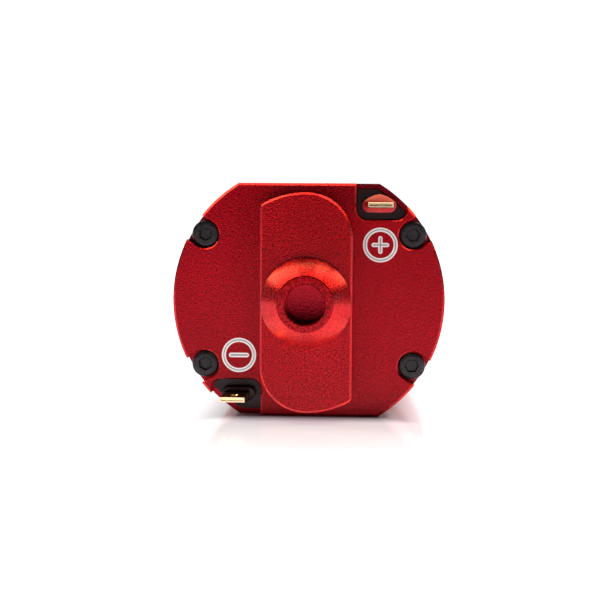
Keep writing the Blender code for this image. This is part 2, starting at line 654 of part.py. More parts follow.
# ---------------------------------------------------------------- stator
def make_stator_base():
    """A bulkhead with the bearing tube on its front and a rim that carries the power board."""
    outer, rim_inner, foot = REAR_BORE - 2 * FIT, 10.3, 5.0
    seat_end = REAR_BEARING["rear"] - REAR_BEARING["width"] - FIT
    seat = REAR_BEARING["outer"] + FIT
    shoulder = STACK_REAR + LINER + 2 * FIT
    profile = [(outer, POWER_FRONT - FIT), (outer, BASE_FRONT), (foot, BASE_FRONT),
               (foot, shoulder), (TUBE_RADIUS, shoulder), (TUBE_RADIUS, TUBE_FRONT),
               (TUBE_BORE, TUBE_FRONT), (TUBE_BORE, seat_end), (seat, seat_end), (seat, BASE_REAR),
               (rim_inner, BASE_REAR), (rim_inner, POWER_FRONT - FIT)]
    base = turned("stator_base", profile, FINE, "aluminium")
    holes = [turn([(LEAD_CIRCLE, 0)], angle)[0] for angle in LEAD_ANGLES]
    combine(base, rods("lead_holes", holes, LEAD_RADIUS + 0.45, BASE_FRONT - BEYOND,
                       BASE_REAR + BEYOND, COARSE))


def make_stator():
    bore = circle((0, 0), TUBE_RADIUS + FIT, MEDIUM)
    star = stator_outline(TOOTH_HALF, STATOR_RADIUS, TIP_DEPTH)
    prism("stator_core", [star, bore], STACK_FRONT, STACK_REAR, "electrical_steel")
    star = stator_outline(TOOTH_HALF + 0.1, STATOR_RADIUS - 0.1, TIP_DEPTH)
    prism("end_insulator_rear", [star, bore], STACK_REAR + FIT, STACK_REAR + LINER,
          "end_insulator")
    prism("end_insulator_front", [star, bore], STACK_FRONT - LINER, STACK_FRONT - FIT,
          "end_insulator")


def rounded_rectangle(half_x, half_y, corner, steps):
    points = []
    for quarter, (sx, sy) in enumerate(((1, 1), (-1, 1), (-1, -1), (1, -1))):
        centre = (sx * (half_x - corner), sy * (half_y - corner))
        points += arc(centre, corner, 90 * quarter, 90 * quarter + 90, steps)
    return points


def make_coils():
    """One winding round each tooth."""
    half_x = TOOTH_HALF + 0.17
    half_y = (STACK_REAR - STACK_FRONT) / 2 + LINER + 2 * FIT
    inner = rounded_rectangle(half_x, half_y, 0.2, 1)
    outer = rounded_rectangle(half_x + COIL_SIDE, half_y + COIL_HEAD, 1.0, 3)
    reach = (COIL_OUTER - COIL_INNER) / 2
    for number in range(SLOTS):
        angle = number * 360 / SLOTS
        coil = prism(f"coil_{number + 1}", [outer, inner], -reach, reach, "enamelled_copper")
        middle = turn([(COIL_INNER + reach, 0)], angle)[0]
        coil.location = (*middle, (STACK_REAR + STACK_FRONT) / 2)
        coil.rotation_euler = (math.radians(90), 0, math.radians(90 + angle))


# ---------------------------------------------------------------- rotor
def make_shaft():
    groove_rear, groove_front, groove_radius = SHAFT_GROOVE
    profile = [(0, SHAFT_REAR), (SHAFT_RADIUS - SHAFT_END, SHAFT_REAR),
               (SHAFT_RADIUS, SHAFT_REAR - SHAFT_END), (SHAFT_RADIUS, groove_rear),
               (groove_radius, groove_rear), (groove_radius, groove_front),
               (SHAFT_RADIUS, groove_front), (SHAFT_RADIUS, SHAFT_TIP + SHAFT_END),
               (SHAFT_RADIUS - SHAFT_END, SHAFT_TIP), (0, SHAFT_TIP)]
    shaft = turned("shaft", profile, MEDIUM, "hardened_steel", ROTOR, closed=False)
    high = PINION_REAR - FIT
    flat = block("shaft_flat", (SHAFT_FLAT, -3, SHAFT_TIP - BEYOND), (3, 3, high))
    combine(shaft, flat)
    clip = ring_sector(1.3, 2.7, 35, 325, 14)
    prism("shaft_clip", [clip], 14.55, 14.93, "plated_steel", ROTOR)


def make_bell():
    """The flux ring, its magnets and the hub that fixes them to the shaft."""
    tube("flux_ring", BELL_BORE, BELL_RADIUS, BELL_FRONT, BELL_REAR, FINE, "plated_steel", ROTOR)
    for number in range(POLES):
        middle = number * 360 / POLES
        sector = ring_sector(MAGNET_INNER, MAGNET_OUTER, middle - MAGNET_SPAN / 2,
                             middle + MAGNET_SPAN / 2, 8)
        prism(f"magnet_{number + 1}", [sector], MAGNET_FRONT, MAGNET_REAR, "magnet_plating", ROTOR)

    bore = SHAFT_RADIUS + FIT
    spigot_rear, plate_rear = BELL_FRONT + 1.2, BELL_FRONT - FIT
    nose = (2.3, FRONT_BEARING["rear"] + FIT)
    profile = [(BELL_BORE - FIT, spigot_rear), (BELL_BORE - FIT, plate_rear),
               (BELL_RADIUS, plate_rear), (BELL_RADIUS, HUB_FRONT), (4.0, HUB_FRONT),
               (4.0, COLLAR_FRONT), (nose[0], COLLAR_FRONT), nose, (bore, nose[1]),
               (bore, plate_rear), (8.6, plate_rear), (8.6, spigot_rear)]
    hub = turned("rotor_hub", profile, FINE, "aluminium", ROTOR)
    station = (HUB_FRONT + COLLAR_FRONT) / 2
    combine(hub, radial_rod("hub_screw_hole", 90, 1.0, 5.0, station, 0.8 + FIT, COARSE))
    vents = [turn([(6.6, 0)], 30 + 60 * i)[0] for i in range(6)]
    combine(hub, rods("hub_vents", vents, 1.5, HUB_FRONT - BEYOND, BELL_FRONT + BEYOND, COARSE))
    screw = radial_rod("hub_set_screw", 90, SHAFT_RADIUS + FIT, 3.9, station, 0.8, COARSE,
                       "black_oxide_steel", ROTOR)
    combine(screw, radial_rod("hub_screw_socket", 90, 3.1, 4.5, station, 0.5, 6))


def make_pinion():
    teeth = prism("pinion", [gear_outline()], PINION_FRONT, TEETH_REAR, "hardened_steel", ROTOR)
    lead_in = 0.9
    trim = [(0, TEETH_REAR + BEYOND), (TOOTH_TIP + 0.2, TEETH_REAR + BEYOND),
            (TOOTH_TIP + 0.2, PINION_FRONT + lead_in), (TOOTH_TIP - 0.8, PINION_FRONT - 0.1),
            (0, PINION_FRONT - 0.1)]
    combine(teeth, turned("pinion_trim", trim, MEDIUM, closed=False), "INTERSECT")
    collar = [(0, PINION_REAR), (PINION_COLLAR - 0.2, PINION_REAR),
              (PINION_COLLAR, PINION_REAR - 0.2), (PINION_COLLAR, TEETH_REAR - 0.5),
              (0, TEETH_REAR - 0.5)]
    combine(teeth, turned("pinion_collar", collar, MEDIUM, closed=False), "UNION")
    combine(teeth, rods("pinion_bore", [(0, 0)], SHAFT_RADIUS + FIT, SHAFT_TIP,
                        PINION_REAR + BEYOND, MEDIUM))
    station = (PINION_REAR + TEETH_REAR) / 2
    combine(teeth, radial_rod("pinion_screw_hole", 0, 1.0, 5.0, station, 1.2 + FIT, COARSE))
    screw = radial_rod("pinion_set_screw", 0, SHAFT_FLAT + FIT, PINION_COLLAR - 0.1, station, 1.2,
                       COARSE, "black_oxide_steel", ROTOR)
    combine(screw, radial_rod("pinion_screw_socket", 0, 2.6, 4.5, station, 0.75, 6))


# ---------------------------------------------------------------- bearings
def make_bearing(name, size, cage_parent):
    """A deep-groove ball bearing: two rings with raceways, and the balls in their cage."""
    rear, front = size["rear"], size["rear"] - size["width"]
    middle = (rear + front) / 2
    ball, pitch, play = size["ball"], size["pitch"], FIT
    edge, side = 0.82 * ball, 0.45 * ball
    reach = math.sqrt(ball**2 - side**2)
    bore = SHAFT_RADIUS + FIT
    outer = [(size["outer"], rear), (size["outer"], front), (size["land_outer"], front),
             (size["land_outer"], middle - edge), (pitch + reach + play, middle - side),
             (pitch + ball + play, middle), (pitch + reach + play, middle + side),
             (size["land_outer"], middle + edge), (size["land_outer"], rear)]
    turned(f"{name}_outer_ring", outer, MEDIUM, "hardened_steel")
    inner = [(size["land_inner"], rear), (size["land_inner"], middle + edge),
             (pitch - reach - play, middle + side), (pitch - ball - play, middle),
             (pitch - reach - play, middle - side), (size["land_inner"], middle - edge),
             (size["land_inner"], front), (bore, front), (bore, rear)]
    turned(f"{name}_inner_ring", inner, MEDIUM, "hardened_steel", ROTOR)
    wall = 0.28 * ball
    cage = tube(f"{name}_balls", pitch - wall, pitch + wall, middle - wall, middle + wall, MEDIUM,
                "hardened_steel", cage_parent)
    work = bmesh.new()
    for i in range(size["balls"]):
        place = Matrix.Translation((*turn([(pitch, 0)], 360 * i / size["balls"])[0], middle))
        bmesh.ops.create_uvsphere(work, u_segments=8, v_segments=5, radius=ball, matrix=place)
    mesh = bpy.data.meshes.new(f"{name}_ball_set")
    work.to_mesh(mesh)
    work.free()
    combine(cage, add(mesh.name, mesh, None, cage_parent), "UNION")


def make_bearing_keepers():
    """The spring washer that loads the front bearing, its retaining ring and its dust shield."""
    front = FRONT_BEARING["rear"] - FRONT_BEARING["width"]
    washer = tube("preload_washer", 3.85, FRONT_BEARING["outer"] - FIT, -0.06, 0.06, FINE)
    graph = bpy.context.evaluated_depsgraph_get()
    mesh = bpy.data.meshes.new_from_object(washer.evaluated_get(graph))
    bpy.data.objects.remove(washer)
    waves, height = 3, 0.13
    for vertex in mesh.vertices:
        vertex.co.z += height * math.sin(waves * math.atan2(vertex.co.y, vertex.co.x))
    washer = add("preload_washer", mesh, "plated_steel", MOTOR)
    washer.location.z = (front + BEARING_SEAT_END) / 2

    gap, ear = 22, 12
    ring = arc((0, 0), FRONT_BEARING["outer"] + 0.4, gap, 360 - gap, 24)
    ring += arc((0, 0), 3.3, 360 - gap, 360 - gap - ear, 2)
    ring += arc((0, 0), 4.2, 360 - gap - ear, gap + ear, 20)
    ring += arc((0, 0), 3.3, gap + ear, gap, 2)
    prism("bearing_retaining_ring", [ring], -14.1, -13.5, "plated_steel")
    tube("bearing_shield", 2.72, FRONT_BEARING["land_outer"] - 0.03, front + 0.05, front + 0.2,
         MEDIUM, "plated_steel")


# ---------------------------------------------------------------- the motor
clear_scene()
PARTS = make_collection("brushless_motor")
TOOLS = make_collection("cutters")
MATERIALS = make_materials()
MOTOR = make_empty("MOTOR_FRAME")
MOTOR.rotation_euler = (math.radians(90), 0, 0)
MOTOR.scale = (0.001, 0.001, 0.001)
ROTOR = make_empty("ROTOR_FRAME", MOTOR)

make_housing()
make_rear_cap()
make_cap_screws()
make_terminals()
make_carrier()
make_boards()
make_components()
make_leads()
make_stator_base()
make_stator()
make_coils()
make_shaft()
make_bell()
make_pinion()
make_bearing("front_bearing", FRONT_BEARING, make_empty("FRONT_CAGE_FRAME", MOTOR))
make_bearing("rear_bearing", REAR_BEARING, make_empty("REAR_CAGE_FRAME", MOTOR))
make_bearing_keepers()
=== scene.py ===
"""Look of the sealed outrunner motor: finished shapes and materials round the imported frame.

Shapes are drawn in millimetres in the motor's own frame: x to the right and y up as seen from
behind, z (a station) along the shaft to the rear. In the world the rear cap faces -Y, +Z is up.
Each piece stands for one node of the frame and takes its place from that node's box.
"""
import json
from contextlib import contextmanager
from math import acos, asin, atan2, copysign, cos, degrees, hypot, pi, radians, sin, sqrt, tan

import bmesh
import bpy
from mathutils import Matrix, Vector


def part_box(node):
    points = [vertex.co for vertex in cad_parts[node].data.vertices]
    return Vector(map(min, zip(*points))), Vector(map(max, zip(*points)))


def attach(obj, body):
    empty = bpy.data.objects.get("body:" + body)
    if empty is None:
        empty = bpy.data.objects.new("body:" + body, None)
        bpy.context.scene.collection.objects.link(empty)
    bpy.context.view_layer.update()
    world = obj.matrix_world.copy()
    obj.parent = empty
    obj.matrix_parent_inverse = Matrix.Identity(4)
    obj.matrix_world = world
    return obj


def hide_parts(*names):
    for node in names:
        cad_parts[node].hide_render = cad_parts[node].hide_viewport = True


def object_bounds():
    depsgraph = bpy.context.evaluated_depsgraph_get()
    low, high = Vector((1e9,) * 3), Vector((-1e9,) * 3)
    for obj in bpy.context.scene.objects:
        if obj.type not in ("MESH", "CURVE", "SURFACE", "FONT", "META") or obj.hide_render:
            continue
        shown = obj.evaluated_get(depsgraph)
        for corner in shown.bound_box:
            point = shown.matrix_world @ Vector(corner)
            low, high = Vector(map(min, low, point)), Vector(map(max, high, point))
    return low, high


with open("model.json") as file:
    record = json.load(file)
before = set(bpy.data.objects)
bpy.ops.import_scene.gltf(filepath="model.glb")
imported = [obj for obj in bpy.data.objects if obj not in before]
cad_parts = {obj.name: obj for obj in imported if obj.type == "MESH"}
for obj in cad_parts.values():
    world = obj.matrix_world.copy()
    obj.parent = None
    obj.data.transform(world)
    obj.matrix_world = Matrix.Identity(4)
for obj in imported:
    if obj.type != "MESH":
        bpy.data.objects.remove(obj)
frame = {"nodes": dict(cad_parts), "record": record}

CAD_BOX = [list(corner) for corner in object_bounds()]
MM = 1000.0
TO_WORLD = Matrix(((1 / MM, 0, 0, 0), (0, 0, -1 / MM, 0), (0, 1 / MM, 0, 0), (0, 0, 0, 1)))
FIT = 0.05  # gap between two pieces that touch
BEYOND = 1.0  # how far a cutter runs past the face that it opens
STATIC, TURNING = "motor_body", "rotor"
HEXAGON = cos(pi / 6)  # half width of a hexagon across its flats to its corners
TURN_OUT = Matrix(((0, 0, 1, 0), (1, 0, 0, 0), (0, 1, 0, 0), (0, 0, 0, 1)))  # x, y, z to y, z, x
SLOTS = {row["node"]: row["material_slot"] for row in frame["record"]["subparts"]}


# ---- sizes, from the frame
def span(node):
    """A node's box in the motor's frame, in millimetres: lowest and highest (x, y, station)."""
    low, high = (Vector(corner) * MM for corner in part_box(node))
    return Vector((low.x, low.z, -high.y)), Vector((high.x, high.z, -low.y))


CAP_LOW, CAP_HIGH = span("rear_cap")
CAN_LOW, CAN_HIGH = span("housing")
SCREW_LOW, SCREW_HIGH = span("cap_screw_1")
BLADE_LOW, BLADE_HIGH = span("terminal_positive")
SHIELD_TOP = span("terminal_collar_positive")[1].z
CARRIER_LOW, CARRIER_PAD = (corner.z for corner in span("terminal_carrier"))
SHAFT_LOW, SHAFT_HIGH = span("shaft")
PINION_LOW, PINION_HIGH = span("pinion")
BELL_LOW, BELL_HIGH = span("flux_ring")
HUB_LOW, HUB_HIGH = span("rotor_hub")

# screws
SCREW_CIRCLE, SCREW_ANGLE, NOTCH_RADIUS = 12.64, 32.2, 1.48
HEAD_RADIUS, HEAD_HEIGHT, SOCKET_HALF, SOCKET_DEPTH = 1.38, 1.25, 0.65, 0.3
SHANK_RADIUS, THREAD_PITCH, THREAD_DEPTH, PLAIN_SHANK = 0.78, 0.35, 0.19, 1.2
# the cap's stations and edges
BODY_RADIUS, FLAT_HALF, BOSS_TOP = CAP_HIGH
BAR_TOP = BOSS_TOP - 2.2
CAP_FACE = BOSS_TOP - 6.8
CAP_JOINT = CAN_HIGH.z + FIT
CAP_SEAT = SCREW_HIGH.z - HEAD_HEIGHT - FIT  # floor of the pockets and notches
RECESS_TOP, FOOT_CEILING = CAP_SEAT - 0.3, CAP_SEAT - 0.45
EDGE = 0.25  # chamfer on the outer edges
BAR_EDGE = 0.2  # chamfer round the top of the bar
BREAK = 0.13  # broken edge of the pockets, notches and openings

# the raised bar and the boss on it
BAR_HALF, BAR_REACH, BAR_END, BAR_CORNER = 4.6, 11.0, 9.0, 0.6
BOSS_BASE, BOSS_CREST, BOSS_STEP = 4.55, 2.8, 0.25
THRUST_RADIUS, THRUST_DEPTH, THRUST_EDGE = 1.95, 3.6, 0.15
# the terminal pockets
POCKET_LEFT, POCKET_RIGHT, POCKET_LOW, POCKET_CORNER, POCKET_RIM = 4.85, 10.05, 8.25, 1.1, 0.5
RECESS_RADIUS = 10.6
FOOT_LEFT, FOOT_BOTTOM, FOOT_RIGHT, FOOT_BACK = 5.0, 5.9, 8.9, 9.0
# the signs: centre, number of arms, reach and half width of each, and the bands of their rings:
# outer and inner radius, and 1 for the duller core, which is painted shade
SIGNS = {"positive": ((7.35, 5.73), 4, 0.91, 0.215), "negative": ((-7.12, -5.73), 2, 1.05, 0.235)}
BANDS = ((1.78, 1.62, 0), (1.62, 1.51, 1), (1.51, 1.35, 0))
LINE_WIDTH, LINE_PROUD, LINE_CORE = 0.15, 0.012, 0.006
# terminals
BLADE_X, BLADE_Y, BLADE_WIDTH, BLADE_THICK = 7.35, 9.8, 2.5, 0.5
BLADE_HOLE_RADIUS, BLADE_HOLE_STATION = 0.5, 32.3
STRIP_WIDTH, TAIL_Y, FOOT_LOW, FOOT_TOP = 1.4, 6.4, 26.45, 26.95
BLADE_CORNER, BLADE_TIP_EDGE = 0.05, ((0, 0.05), (0.03, 0), (0.125, 0), (0.165, 0.28))
COLLAR_X, COLLAR_Y, COLLAR_HALF, COLLAR_FLAT, COLLAR_PEAK = 7.2, 9.85, 1.74, 0.82, 1.07
SLOPE_REACH, SLOPE_DROP, SLOPE_HALF = 1.6, 1.45, 3.0
CARRIER_INNER = 5.2
# housing
REAR_BORE, FRONT_BORE, NECK_RADIUS, NECK_MOUTH = 11.2, 10.8, 5.9, 3.7
CAN_FRONT, WALL_INNER = -16.8, -13.3
FIN_DEPTH, FIN_WIDTH, FIN_SPREAD, FIN_FIRST, FIN_PITCH, FIN_COUNT = 0.6, 0.85, 54.0, 17.6, 1.7, 5
WINDOW_REAR, WINDOW_FRONT, WINDOW_HALF, WINDOW_SPREAD = 6.0, -5.0, 1.3, 22.0
VENT_RADIUS, VENT_HALF, VENT_SPAN = 8.3, 1.0, 40.0
TAPPED_RADIUS, TAPPED_X = 1.05, 8.0
BORE_STEP, BEARING_SEAT, BEARING_STOP = 12.0, 4.7625 + FIT, -18.7
RING_GROOVE_REAR, RING_GROOVE_FRONT, RING_GROOVE_DEPTH = -13.45, -14.15, 0.45
# rotor
SHAFT_RADIUS, SHAFT_FLAT, FLAT_REAR, SHAFT_EDGE = 1.5875, 1.2, -24.85, 0.3
CLIP_GROOVE_REAR, CLIP_GROOVE_FRONT, CLIP_GROOVE_RADIUS = 15.0, 14.5, 1.25
TEETH, TOOTH_TIP, TOOTH_PITCH, TOOTH_ROOT, PRESSURE_ANGLE = 10, 4.7, 4.0, 3.0, 20.0
TEETH_REAR, PINION_COLLAR, PINION_NECK = -28.0, 3.6, 3.25
BELL_BORE, HUB_BORE, HUB_FRONT, HUB_NECK, HUB_NOSE = 9.5, 8.6, -9.4, 4.0, 2.3
HUB_NECK_FRONT, HUB_VENT, HUB_VENTS = -12.7, 1.5, (6.6, 6)
# bearings: name, and its balls' radius, pitch radius and number
BEARINGS = (("front_bearing", 0.765, 3.175, 7), ("rear_bearing", 0.48, 2.4, 8))


# ---- outlines
def arc(centre, radius, start, end, steps):
    """Points on an arc, both ends included, with its angles in degrees."""
    cx, cy = centre
    points = []
    for i in range(steps + 1):
        angle = radians(start + (end - start) * i / steps)
        points.append((cx + radius * cos(angle), cy + radius * sin(angle)))
    return points


def circle(radius, steps, centre=(0, 0)):
    return arc(centre, radius, 0, 360, steps)[:-1]


def rectangle(x0, y0, x1, y1):
    return [(x0, y0), (x1, y0), (x1, y1), (x0, y1)]


def turn(points, degrees, shift=(0, 0)):
    c, s = cos(radians(degrees)), sin(radians(degrees))
    return [(x * c - y * s + shift[0], x * s + y * c + shift[1]) for x, y in points]


def body_outline(inset=0.0):
    radius, flat = BODY_RADIUS - inset, FLAT_HALF - inset
    corner = degrees(asin(flat / radius))
    right = arc((0, 0), radius, -corner, corner, 72)
    return right + turn(right, 180)


def bar_outline(inset=0.0):
    end_y = BAR_REACH - BAR_END
    tight_x = BAR_CORNER - BAR_HALF
    tight_y = end_y + sqrt((BAR_END - BAR_CORNER) ** 2 - tight_x**2)
    tight_angle = degrees(atan2(tight_y - end_y, tight_x))
    upper = arc((0, BAR_REACH - BAR_HALF), BAR_HALF - inset, 0, 90, 32)
    upper += arc((0, end_y), BAR_END - inset, 90, tight_angle, 16)[1:]
    upper += arc((tight_x, tight_y), BAR_CORNER - inset, tight_angle, 180, 10)[1:]
    return upper + turn(upper, 180)


def pocket_outline(grow=0.0):
    left, right = POCKET_LEFT - grow, POCKET_RIGHT + grow
    low, corner = POCKET_LOW - grow, POCKET_CORNER + grow
    top = BODY_RADIUS + BEYOND
    points = arc((left + corner, low + corner), corner, 180, 270, 16)
    points += arc((right - corner, low + corner), corner, 270, 360, 16)
    return points + [(right, top), (left, top)]


def collar_outline(inset=0.0):
    corner, fullness, half = 0.7 - inset, 4 / 3, COLLAR_HALF - inset
    flat, peak = COLLAR_FLAT - inset, COLLAR_PEAK - inset
    points = arc((corner - half, corner - flat), corner, 180, 270, 10)
    points += arc((half - corner, corner - flat), corner, 270, 360, 10)
    for i in range(33):
        c, s = cos(pi * i / 32), sin(pi * i / 32)
        points.append((half * copysign(abs(c) ** fullness, c), peak * s**fullness))
    return points


def notch_outline(grow=0.0):
    mouth = BODY_RADIUS - SCREW_CIRCLE + BEYOND
    radius = NOTCH_RADIUS + grow
    return arc((0, 0), radius, 90, 270, 40) + [(mouth, -radius), (mouth, radius)]


def rounded_rectangle(half_x, half_y, corner):
    points = []
    for quarter, (sx, sy) in enumerate(((1, 1), (-1, 1), (-1, -1), (1, -1))):
        centre = (sx * (half_x - corner), sy * (half_y - corner))
        points += arc(centre, corner, 90 * quarter, 90 * quarter + 90, 4)
    return points


def kidney_outline(grow=0.0):
    width, end = VENT_HALF + grow, VENT_SPAN / 2 - degrees(VENT_HALF / VENT_RADIUS)
    x, y = turn([(VENT_RADIUS, 0)], end)[0]
    points = arc((0, 0), VENT_RADIUS + width, -end, end, 14)
    points += arc((x, y), width, end, end + 180, 12)[1:-1]
    points += arc((0, 0), VENT_RADIUS - width, end, -end, 14)
    return points + arc((x, -y), width, 180 - end, 360 - end, 12)[1:-1]


def gear_outline():
    """Involute teeth, each flank between the root fillet and the tip."""
    base = TOOTH_PITCH * cos(radians(PRESSURE_ANGLE))
    at_pitch = tan(radians(PRESSURE_ANGLE)) - radians(PRESSURE_ANGLE)
    half_pitch, step = pi / (2 * TEETH), pi / TEETH
    flank = []
    for i in range(9):
        radius = base + (TOOTH_TIP - base) * i / 8
        roll = acos(min(1.0, base / radius))
        flank.append((radius, half_pitch + at_pitch - (tan(roll) - roll)))
    foot = flank[0][1]
    gap = step - foot
    side = [(TOOTH_ROOT, step * 0.97), (TOOTH_ROOT + 0.02, foot + 0.45 * gap),
            (TOOTH_ROOT + 0.14, foot + 0.16 * gap), (TOOTH_ROOT + 0.36, foot + 0.01)] + flank
    tooth = [(r, -a) for r, a in side] + side[::-1]
    middles = [2 * pi * i / TEETH for i in range(TEETH)]
    return [(r * cos(m + a), r * sin(m + a)) for m in middles for r, a in tooth]


def rounding(width, fullness=1.5):
    """Pairs (inset, drop) from a side over its edge: fullness 1 is a quarter round, 2 a chamfer."""
    steps = 1 if fullness >= 2 else 4
    angles = [pi / 2 * i / steps for i in range(steps + 1)] if width else [0]
    return [(width * (1 - abs(cos(angle)) ** fullness), width * (1 - sin(angle) ** fullness))
            for angle in angles]


# ---- solids
WORK = bpy.data.collections.new("work")
bpy.context.scene.collection.children.link(WORK)


def new_mesh(name, verts=(), faces=()):
    mesh = bpy.data.meshes.new(name)
    mesh.from_pydata(verts, [], faces)
    return mesh


def add_object(name, data, collection=bpy.context.scene.collection):
    obj = bpy.data.objects.new(name, data)
    collection.objects.link(obj)
    return obj


@contextmanager
def editing(mesh):
    """Opens a mesh as a bmesh and writes it back."""
    work = bmesh.new()
    work.from_mesh(mesh)
    yield work
    work.to_mesh(mesh)
    work.free()


def solid(verts, faces):
    """A solid to work on, which finish_piece names."""
    mesh = new_mesh("work", verts, faces)
    with editing(mesh) as work:
        bmesh.ops.remove_doubles(work, verts=work.verts, dist=1e-5)
        bmesh.ops.recalc_face_normals(work, faces=work.faces)
    return add_object("work", mesh, WORK)


def quads(rows, count, closed=False):
    """Faces between rows of count points. If closed, the last row joins the first."""
    faces = []
    for k in range(rows if closed else rows - 1):
        m = (k + 1) % rows
        for i in range(count):
            j = (i + 1) % count
            faces.append((k * count + i, k * count + j, m * count + j, m * count + i))
    return faces


def end_caps(rows, count):
    return [tuple(reversed(range(count))), tuple(range((rows - 1) * count, rows * count))]


def loft(rings):
    """A closed solid through rings of (x, y, z) points, all of one length, capped at both ends."""
    rows, count = len(rings), len(rings[0])
    return solid([point for ring in rings for point in ring],
                 quads(rows, count) + end_caps(rows, count))


def flat_ring(points, station):
    return [(x, y, station) for x, y in points]


def tower(outline, levels):
    """A solid through outline(inset), or one fixed outline, at every (inset, station)."""
    return loft([flat_ring(outline(inset) if callable(outline) else outline, station)
                 for inset, station in levels])


def prism(outline, low, high, low_edge=0.0, high_edge=0.0, fullness=1.5):
    """An outline between two stations, with its end edges rounded or chamfered."""
    below = [(inset, low + drop) for inset, drop in rounding(low_edge, fullness)]
    above = [(inset, high - drop) for inset, drop in rounding(high_edge, fullness)]
    return tower(outline, below[::-1] + above)


def rod(radius, low, high, centre=(0, 0)):
    return prism(circle(radius, 32, centre), low, high)


def flared_cutter(outline, low, face, width=BREAK):
    """Cuts from a face down to low, with a chamfered edge at the face."""
    return tower(outline, ((0.0, low), (0.0, face - width), (width, face), (width, face + BEYOND)))


def revolve(profile, steps=96, start=0.0, end=360.0):
    """Turns a closed profile of (radius, station) points about the shaft."""
    whole = end - start >= 360
    columns = steps if whole else steps + 1
    verts = []
    for k in range(columns):
        angle = radians(start + (end - start) * k / steps)
        verts += [(r * cos(angle), r * sin(angle), z) for r, z in profile]
    faces = quads(columns, len(profile), whole)
    return solid(verts, faces if whole else faces + end_caps(columns, len(profile)))


def soften(profile, radius=0.08, steps=3):
    """Rounds the corners of a closed profile, except those on the axis."""
    softened = []
    count = len(profile)
    for i, corner in enumerate(profile):
        here = Vector(corner)
        before, after = Vector(profile[i - 1]) - here, Vector(profile[(i + 1) % count]) - here
        tiny = min(corner[0], before.length, after.length) < 1e-6
        if tiny or before.angle(after) > radians(165):
            softened.append(corner)
            continue
        cut = min(radius, before.length * 0.4, after.length * 0.4)
        first, last = here + before.normalized() * cut, here + after.normalized() * cut
        for k in range(steps + 1):
            t = k / steps
            softened.append(tuple(first * (1 - t) ** 2 + here * 2 * t * (1 - t) + last * t**2))
    return softened


def to_axis(profile):
    """Closes a profile with a point on the axis at either end."""
    return [(0, profile[0][1]), *profile, (0, profile[-1][1])]


def turned(profile, radius=0.08, steps=96):
    """A turned part: a profile about the shaft, with its corners broken."""
    return revolve(soften(profile, radius), steps)


def place(obj, matrix):
    obj.data.transform(matrix)
    return obj


def about_shaft(degrees):
    return Matrix.Rotation(radians(degrees), 4, "Z")


def radial(angle, reach, station):
    """Maps a tool's z to outwards from the shaft, its y to the station and its x to tangential."""
    return about_shaft(angle) @ Matrix.Translation((reach, 0, station)) @ TURN_OUT


def combine(obj, tools, operation="DIFFERENCE"):
    for tool in tools:
        modifier = obj.modifiers.new(operation, "BOOLEAN")
        modifier.operation = operation
        modifier.solver = "EXACT"
        modifier.object = tool
    bake(obj)
    for tool in tools:
        bpy.data.objects.remove(tool)
    return obj


def bake(obj):
    """Applies the modifiers of obj to its mesh."""
    graph = bpy.context.evaluated_depsgraph_get()
    graph.update()
    mesh = bpy.data.meshes.new_from_object(obj.evaluated_get(graph), depsgraph=graph,
                                           preserve_all_data_layers=True)
    obj.modifiers.clear()
    obj.data = mesh


def finish_piece(obj, node, body=STATIC, looks=None, sharp=32.0):
    """Shades a solid, brings it into the world and puts it on its body in place of its node.
    A name that is no node makes an extra piece."""
    slot = SLOTS.get(node)
    looks = looks or [LOOKS[slot]]
    with editing(obj.data) as work:
        bmesh.ops.remove_doubles(work, verts=work.verts, dist=2e-5)
        bmesh.ops.dissolve_degenerate(work, edges=work.edges, dist=2e-5)
    obj.data.transform(TO_WORLD)
    obj.data.shade_smooth()
    obj.data.set_sharp_from_angle(angle=radians(sharp))
    weighted = obj.modifiers.new("weighted", "WEIGHTED_NORMAL")
    weighted.keep_sharp, weighted.mode = True, "FACE_AREA"
    bake(obj)
    indices = [face.material_index for face in obj.data.polygons]
    obj.data.materials.clear()
    for look in looks:
        obj.data.materials.append(look)
    for face, index in zip(obj.data.polygons, indices):
        face.material_index = min(index, len(looks) - 1)
    obj.name = obj.data.name = f"{node}_finished" if slot else node
    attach(obj, body)
    if slot:
        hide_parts(node)


def paint(obj, look_of):
    """Gives every face the look whose number look_of(face) returns."""
    for face in obj.data.polygons:
        face.material_index = int(look_of(face))


